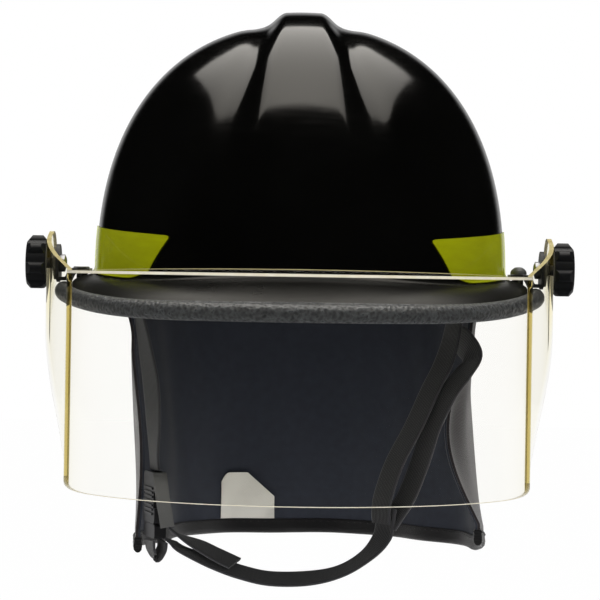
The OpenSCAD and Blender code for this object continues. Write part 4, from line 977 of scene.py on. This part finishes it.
crown_strap("crown_web_side", "crown_strap_side", 90, 0)
crown_strap("crown_web_left", "crown_strap_left", 222, 1)
crown_strap("crown_web_right", "crown_strap_right", 138, 2)

# %% [markdown]
# The neck protector is two layers of cloth that hang from the liner's rim: a brownish outer twill and a navy
# lining. Their soft folds grow towards the hem. Both are sheets of real thickness, so each is made as a skin
# with an outer and an inner face. Finer ripples are added on top of the CAD form, and fade out at the seams.

# %% Cloth form
CLOTH_RIGHT, CLOTH_LEFT, CLOTH_LOW_Z, CLOTH_PLAN_N = 72, 280, -136, 2.15
CLOTH_COLS, CLOTH_ROWS, CLOTH_T, LINING_T = 208, 44, 1.6, 1.0
CLOTH_PLAN = [DOME[k] - LINER_W - 9 for k in ("half_w", "front", "rear")]


def cloth_swing(f, v):
    right, s = f < 180, sin(radians(f)) ** 2
    curl = smooth(1 - (f - CLOTH_RIGHT if right else CLOTH_LEFT - f) / 32)
    swing = -(15 if right else 3) * curl * sin(pi * clamp((v - 0.3) / 0.68))
    swing -= (3 if right else 8) * smooth(v / 0.25) * s
    swing += v * 3 * (sin(radians(7 * f + 30)) + 0.5 * sin(radians(13 * f)))
    return swing + (8 if right else -5) * smooth((v - 0.3) / 0.7) * s


def ripple(f, v):
    quiet = sin(pi * clamp(v)) ** 0.7
    creases = sin(radians(11 * f + 150 * v)) * 0.5 + sin(radians(5 * f - 260 * v + 40)) * 0.6
    return quiet * (creases + 0.35 * sin(radians(23 * f + 420 * v)))


def cloth_point(f, v, inset, fine=1.0):
    c, n = plan(f, *CLOTH_PLAN, CLOTH_PLAN_N), plan_normal(f, 1, 1.12, 1.2, CLOTH_PLAN_N)
    rise = (11 if f < 180 else 2) * smooth((cos(radians(f)) + 0.3) / 0.6)
    out = cloth_swing(f, v) - inset + fine * ripple(f, v)
    return np.array([c[0] + n[0] * out, c[1] + n[1] * out, lerp(liner_rim_z(f) - 0.4, CLOTH_LOW_Z + rise, v)])


def one_side_area(made):
    return round(sum(face.area for face in made.data.polygons) / 2, 5)


def cloth_wall(name, node_name, slot, in0, in1):
    rows, run, walked, before = [], [], 0.0, None
    for i in range(CLOTH_COLS + 1):
        f = lerp(CLOTH_RIGHT, CLOTH_LEFT, i / CLOTH_COLS)
        outer = [cloth_point(f, j / CLOTH_ROWS, in0) for j in range(CLOTH_ROWS + 1)]
        inner = [cloth_point(f, j / CLOTH_ROWS, in1) for j in range(CLOTH_ROWS, -1, -1)]
        middle = outer[CLOTH_ROWS // 2]
        walked += 0 if before is None else np.linalg.norm(middle - before)
        before = middle
        rows.append(outer + inner)
        run += [(walked, p[2], 0) for p in rows[-1]]
    made = swept(name, rows, "helmet", slot, finishes[slot], [node_name], run, sharp=70)
    print(name, "spans", round(walked), "mm, area", one_side_area(made), "m2")
    return made


outer_cloth = cloth_wall("neck_outer_cloth", "neck_protector", "outer_cloth", 0, CLOTH_T)
lining = cloth_wall("neck_lining_cloth", "neck_lining", "lining_cloth", CLOTH_T + 0.1, CLOTH_T + 0.1 + LINING_T)

# %% [markdown]
# The hem is bound with tape, folded over the edge of both layers. The tape's section is given as shares across
# the cloth and millimetres down, and it is swept along the hem like the cloth itself.

# %% Hem binding
TAPE_STEP = 3.3
TAPE_SECTION = [(0.1, 0.2), (0, 0.7), (0, 3), (-0.08, 5.5), (0, 7.6), (0.25, 8.8), (0.5, 9.1), (0.75, 8.8), (1, 7.6)]
TAPE_SECTION += [(1.08, 5.5), (1, 3), (1, 0.7), (0.9, 0.2)]
rows, run = [], []
for i in range(CLOTH_COLS + 1):
    f = lerp(CLOTH_RIGHT, CLOTH_LEFT, i / CLOTH_COLS)
    a, b = cloth_point(f, 1, -0.8, 0), cloth_point(f, 1, CLOTH_T + LINING_T + 0.9, 0)
    rows.append([lerp(a, b, k) - [0, 0, down] for k, down in TAPE_SECTION])
    run += [(i * TAPE_STEP, p[2], 0) for p in rows[-1]]
binding = swept("hem_tape", rows, "helmet", "binding_cloth", finishes["binding_cloth"], ["hem_binding"], run)

# %% [markdown]
# Stitches hold the tape and the two front edges. Each is a small capsule of thread, and a walk along a line on
# the cloth says where one starts and ends. A texture of stitches would not stand out from the cloth as these do.

# %% Stitches
STITCH, STITCH_GAP, THREAD_R = 3.2, 1.3, 0.32


def stitch_row(name, path):
    points, faces, walked, target = [], [], 0.0, 0.0
    path = [np.array(p, float) for p in path]
    marks = [path[0]]
    for a, b in zip(path, path[1:]):
        step = np.linalg.norm(b - a)
        while target <= walked + step:
            marks.append(lerp(a, b, (target - walked) / step))
            target += STITCH if len(marks) % 2 else STITCH_GAP
        walked += step
    stitches = list(zip(marks[1::2], marks[2::2]))
    for a, b in stitches:
        d = unit(b - a)
        u = unit(np.cross(d, [0.3, 0.2, 1]))
        v = np.cross(d, u)
        base = len(points)
        for t, size in ((0, 0.3), (0.18, 1), (0.82, 1), (1, 0.3)):
            turns = np.linspace(0, 2 * pi, 6, endpoint=False)
            points += [lerp(a, b, t) + THREAD_R * size * (cos(q) * u + sin(q) * v) for q in turns]
        faces += [tuple(base + n for n in face) for face in skin_faces(4, 6)]
    run = [(p[0], p[2], 0) for p in points]
    piece(name, points, faces, "helmet", "binding_cloth", finishes["thread"], run=run)
    print(name, "has", len(stitches), "stitches")


def hem_line(inset, drop):
    along = np.linspace(CLOTH_RIGHT + 0.5, CLOTH_LEFT - 0.5, 260)
    return [cloth_point(f, 1, inset, 0) - [0, 0, drop] for f in along]


stitch_row("hem_stitches_inside", hem_line(CLOTH_T + LINING_T + 1.05, 1.6))
stitch_row("hem_stitches_outside", hem_line(-0.95, 1.6))
for side, f in (("right", CLOTH_RIGHT + 3.2), ("left", CLOTH_LEFT - 3.2)):
    downward = [cloth_point(f, v, CLOTH_T + LINING_T + 0.15) for v in np.linspace(0.03, 0.99, 60)]
    stitch_row(f"front_stitches_{side}", downward)

# %% [markdown]
# A bare satin label is sewn into the lining by the hem. It curls a little off the cloth, and one lower corner
# hangs freer than the rest. It carries no words.

# %% Care label
LABEL_FROM, LABEL_TO, LABEL_W, LABEL_N, LABEL_INSETS = 206, 187, 36, 24, (3.1, 3.7)


def label_curl(k, down):
    curl = 1.3 * sin(pi * k) * (1 - down) + 0.9 * k * down * down + 0.35 * sin(9 * k + 4 * down)
    return max(0, curl)


def label_column(k, inset):
    f = lerp(LABEL_FROM, LABEL_TO, k)
    top = 0.825 + 0.09 * clamp((k - 0.5) * 2) + 0.035 * max(0.0, 1 - k / 0.15) ** 2
    downs = [j / LABEL_N for j in range(LABEL_N + 1)]
    return [cloth_point(f, lerp(top, 0.998, down), inset + label_curl(k, down), 0.6) for down in downs]


rows, run = [], []
for i in range(LABEL_N + 1):
    outer, inner = (label_column(i / LABEL_N, inset) for inset in LABEL_INSETS)
    rows.append(outer + inner[::-1])
    run += [(i / LABEL_N * LABEL_W, p[2], 0) for p in rows[-1]]
label = swept("bare_label", rows, "helmet", "label_cloth", finishes["label_cloth"], ["neck_label"], run)
print("label area", one_side_area(label), "m2")

# %% [markdown]
# The pads are foam under brushed fabric. Each bulges between its seams and thins towards its rim. They are
# formed from their CAD space with a crowned section and sewn channels.

# %% Sweat pads
HEAD_HALF_W, HEAD_FRONT, HEAD_SIDE, NAPE_R = 79.0, 101.0, 22.0, 78.8
PAD_COLS, PAD_RUN, BROW_SPREAD, NAPE_SPREAD = 120, 160, 62, 25


def band_plan(f, out):
    c, s, r = cos(radians(f)), sin(radians(f)), HEAD_HALF_W + out
    return np.array([r * s, -(HEAD_FRONT + out) * c]) if c > 0 else np.array([r * s, HEAD_SIDE - r * c])


def pad(name, node_name, path, z0, z1, thick, channels):
    """path(t, depth) gives a point in plan; depth grows away from the band."""
    rows, run = [], []
    for i in range(PAD_COLS + 1):
        t = i / PAD_COLS
        ends = min(1.0, 12 * min(t, 1 - t)) ** 0.5 if 0 < t < 1 else 0.12
        seam = abs(sin(pi * channels * t)) ** 0.35
        full = thick * max(0.15, ends * lerp(0.45, 1, seam))
        ring = []
        for a in np.linspace(0, 2 * pi, 28, endpoint=False):
            u, v = power(cos(a), 0.55), power(sin(a), 0.55)
            depth = full * (0.5 - 0.5 * u)
            half = (z1 - z0) / 2 * max(0.35, ends) * (1 - 0.04 * (1 - seam))
            at = path(t, depth)
            ring.append([at[0], at[1], (z0 + z1) / 2 + half * v])
        rows.append(ring)
        run += [(t * PAD_RUN, p[2], 0) for p in ring]
    made = swept(name, rows, "helmet", "padding", finishes["padding"], [node_name], run)


def brow_path(t, depth):
    return band_plan(lerp(-BROW_SPREAD, BROW_SPREAD, t), -0.3 - depth)


def nape_path(t, depth):
    a, r = radians(lerp(NAPE_SPREAD, -NAPE_SPREAD, t)), NAPE_R - depth
    return np.array([r * sin(a), HEAD_SIDE + r * cos(a)])


pad("brow_cushion", "brow_pad", brow_path, -1, 29, 4.7, 7)
pad("nape_cushion", "nape_pad", nape_path, -11.5, 21.5, 4.6, 3)

# %% [markdown]
# The crown pad is a quilted disc under the straps' crossing. One profile from its middle over the rim and back
# is turned round the upright axis, with a sewn ring pressed into both faces.

# %% Crown pad
SEWN_RING_R, SEWN_RING_W, SPOKES = 17, 1.6, 72
pad_top = CROWN_Z - 0.8 - 0.3
reach_r = DOME["half_w"] - CAP_IN - 5


def pad_fall(r):
    return pad_top - (pad_top - 31) * (1 - sqrt(max(0.0, 1 - (r / reach_r) ** 2))) - 0.4


def sewn_ring(r):
    return exp(-(((r - SEWN_RING_R) / SEWN_RING_W) ** 2))


profile = [(r, pad_fall(r) - 0.8 * sewn_ring(r)) for r in np.linspace(0.5, 32, 16)]
profile += [(33.4, pad_fall(33.4) - 0.9), (34, pad_fall(34) - 2.4), (33, pad_fall(33) - 4)]
profile += [(r, pad_fall(r) - 5 + 0.9 * sewn_ring(r)) for r in np.linspace(31, 0.5, 15)]
rows, run = [], []
for k in range(SPOKES):
    a = 2 * pi * k / SPOKES
    rows.append([(r * cos(a), r * sin(a), z) for r, z in profile])
    run += [(r * cos(a), r * sin(a), 0) for r, z in profile]
crown = swept("crown_cushion", rows, "helmet", "padding", finishes["padding"], ["crown_pad"], run, loop=True)

# %% [markdown]
# The sheets of cloth are listed by name.

print("sheets:", [made.name for made in (outer_cloth, lining, label)])

# %% [markdown]
# The room: a pale floor well below the helmet, a white surround, a large softbox overhead that shows as grey
# panes on the gloss crown, and soft fills that light the cloth. The fills don't show in the mirror of the
# shell, as in the photograph, where its front is pure black.

# %% Floor
FLOOR_Z, FLOOR_HALF, FLOOR_GREY = -0.6, 9, 0.85


def depths(tree):
    """1 once light has been mirrored, and 1 once it has been scattered by a matt surface."""
    light_path = tree.nodes.new("ShaderNodeLightPath").outputs
    mirrored = math(tree, "GREATER_THAN", light_path["Glossy Depth"], 0.5)
    scattered = math(tree, "GREATER_THAN", light_path["Diffuse Depth"], 0.5)
    return mirrored, scattered


def choose(tree, which, no, yes):
    return node(tree, "Mix", {0: which, 2: no, 3: yes}).outputs[0]


floor_mesh = bpy.data.meshes.new("floor")
corners = [(x * FLOOR_HALF, y * FLOOR_HALF, FLOOR_Z) for x, y in ((-1, -1), (1, -1), (1, 1), (-1, 1))]
floor_mesh.from_pydata(corners, [], [(0, 1, 2, 3)])
floor = bpy.data.objects.new("floor", floor_mesh)
scene.collection.objects.link(floor)
floor_paint, tree, shader = start("floor_paint", Roughness=0.9)
shader.inputs["Base Color"].default_value = tone([FLOOR_GREY] * 3)
mirrored, scattered = depths(tree)
floor_y = node(tree, "SeparateXYZ", {0: place_on(tree)}).outputs[1]
fade_back = {"Value": floor_y, "From Min": 1.0, "From Max": 1.4, "To Min": 0.0, "To Max": 0.5}
far_back = node(tree, "MapRange", fade_back).outputs[0]
glow = node(tree, "Emission", {"Strength": choose(tree, mirrored, 1.03, far_back)}).outputs[0]
matt_share = math(tree, "MULTIPLY", math(tree, "SUBTRACT", 1, scattered), 0.95)
glow_share = choose(tree, mirrored, matt_share, 1.0)
shown = node(tree, "MixShader", {0: glow_share, 1: shader.outputs[0], 2: glow}).outputs[0]
tree.links.new(shown, tree.nodes["Material Output"].inputs["Surface"])
floor_mesh.materials.append(floor_paint)
print("floor at", FLOOR_Z, "m")

# %% [markdown]
# The world is plain white to the camera. Light that a matt surface scattered finds it dimmer, and the mirror of
# the shell finds it dark, except for a soft grey patch straight behind the helmet.

# %% World

world = bpy.data.worlds.new("studio")
scene.world = world
world.use_nodes = True
tree = world.node_tree
heading = node(tree, "SeparateXYZ", {0: tree.nodes.new("ShaderNodeTexCoord").outputs["Generated"]}).outputs


def facing(low, high):
    ramp = {"Value": heading[1], "From Min": low, "From Max": high}
    return node(tree, "MapRange", ramp, interpolation_type="SMOOTHSTEP").outputs[0]


mirrored, scattered = depths(tree)
mirror_room = math(tree, "MULTIPLY", facing(0.9, 0.97), 0.5)
strength = choose(tree, scattered, choose(tree, mirrored, 1.0, mirror_room), 0.35)
tree.links.new(strength, tree.nodes["Background"].inputs["Strength"])
tree.nodes["Background"].inputs["Color"].default_value = (1, 1, 1, 1)
print("world", world.name)


# %% [markdown]
# Every lamp is a rectangle that is brightest in the middle and fades to half at its two ends, as a real softbox
# does. Only the overhead one shows in mirrors.


# %% Lamps
def softbox(name, at, towards, size, watts, in_mirror=True, colour=(1, 1, 1)):
    lamp = bpy.data.lights.new(name, "AREA")
    lamp.shape, lamp.size, lamp.size_y, lamp.energy, lamp.color = "RECTANGLE", size[0], size[1], watts, colour
    made = bpy.data.objects.new(name, lamp)
    scene.collection.objects.link(made)
    made.location = at
    made.rotation_euler = (Vector(towards) - Vector(at)).to_track_quat("-Z", "Y").to_euler()
    made.visible_camera, made.visible_transmission, made.visible_glossy = False, False, in_mirror
    lamp.use_nodes = True
    tree = lamp.node_tree
    across = node(tree, "SeparateXYZ", {0: tree.nodes.new("ShaderNodeNewGeometry").outputs["Parametric"]}).outputs[0]
    off_middle = math(tree, "MULTIPLY", math(tree, "SUBTRACT", across, 0.5), 2)
    fall = math(tree, "MULTIPLY", math(tree, "MULTIPLY", off_middle, off_middle), 0.5)
    tree.links.new(math(tree, "SUBTRACT", 1, fall), tree.nodes["Emission"].inputs["Strength"])
    print(name, "gives", round(watts / (pi * size[0] * size[1]), 2), "W per square metre and steradian")


softbox("overhead_softbox", (0, 0.05, 1.35), (0, 0.05, 0.1), (2.0, 2.1), 33, colour=(1, 0.97, 0.92))
softbox("front_fill", (0.6, -2.6, 0.8), (0, 0, 0), (1.8, 1.4), 9, False)
softbox("left_rim", (-0.8, 1.4, 0.95), (0, 0, 0.05), (0.4, 0.4), 40, False)
softbox("right_rim", (0.8, 1.4, 0.95), (0, 0, 0.05), (0.4, 0.4), 40, False)
softbox("low_fill", (0, -1.2, -0.5), (0, 0, -0.05), (1.6, 0.5), 2, False)
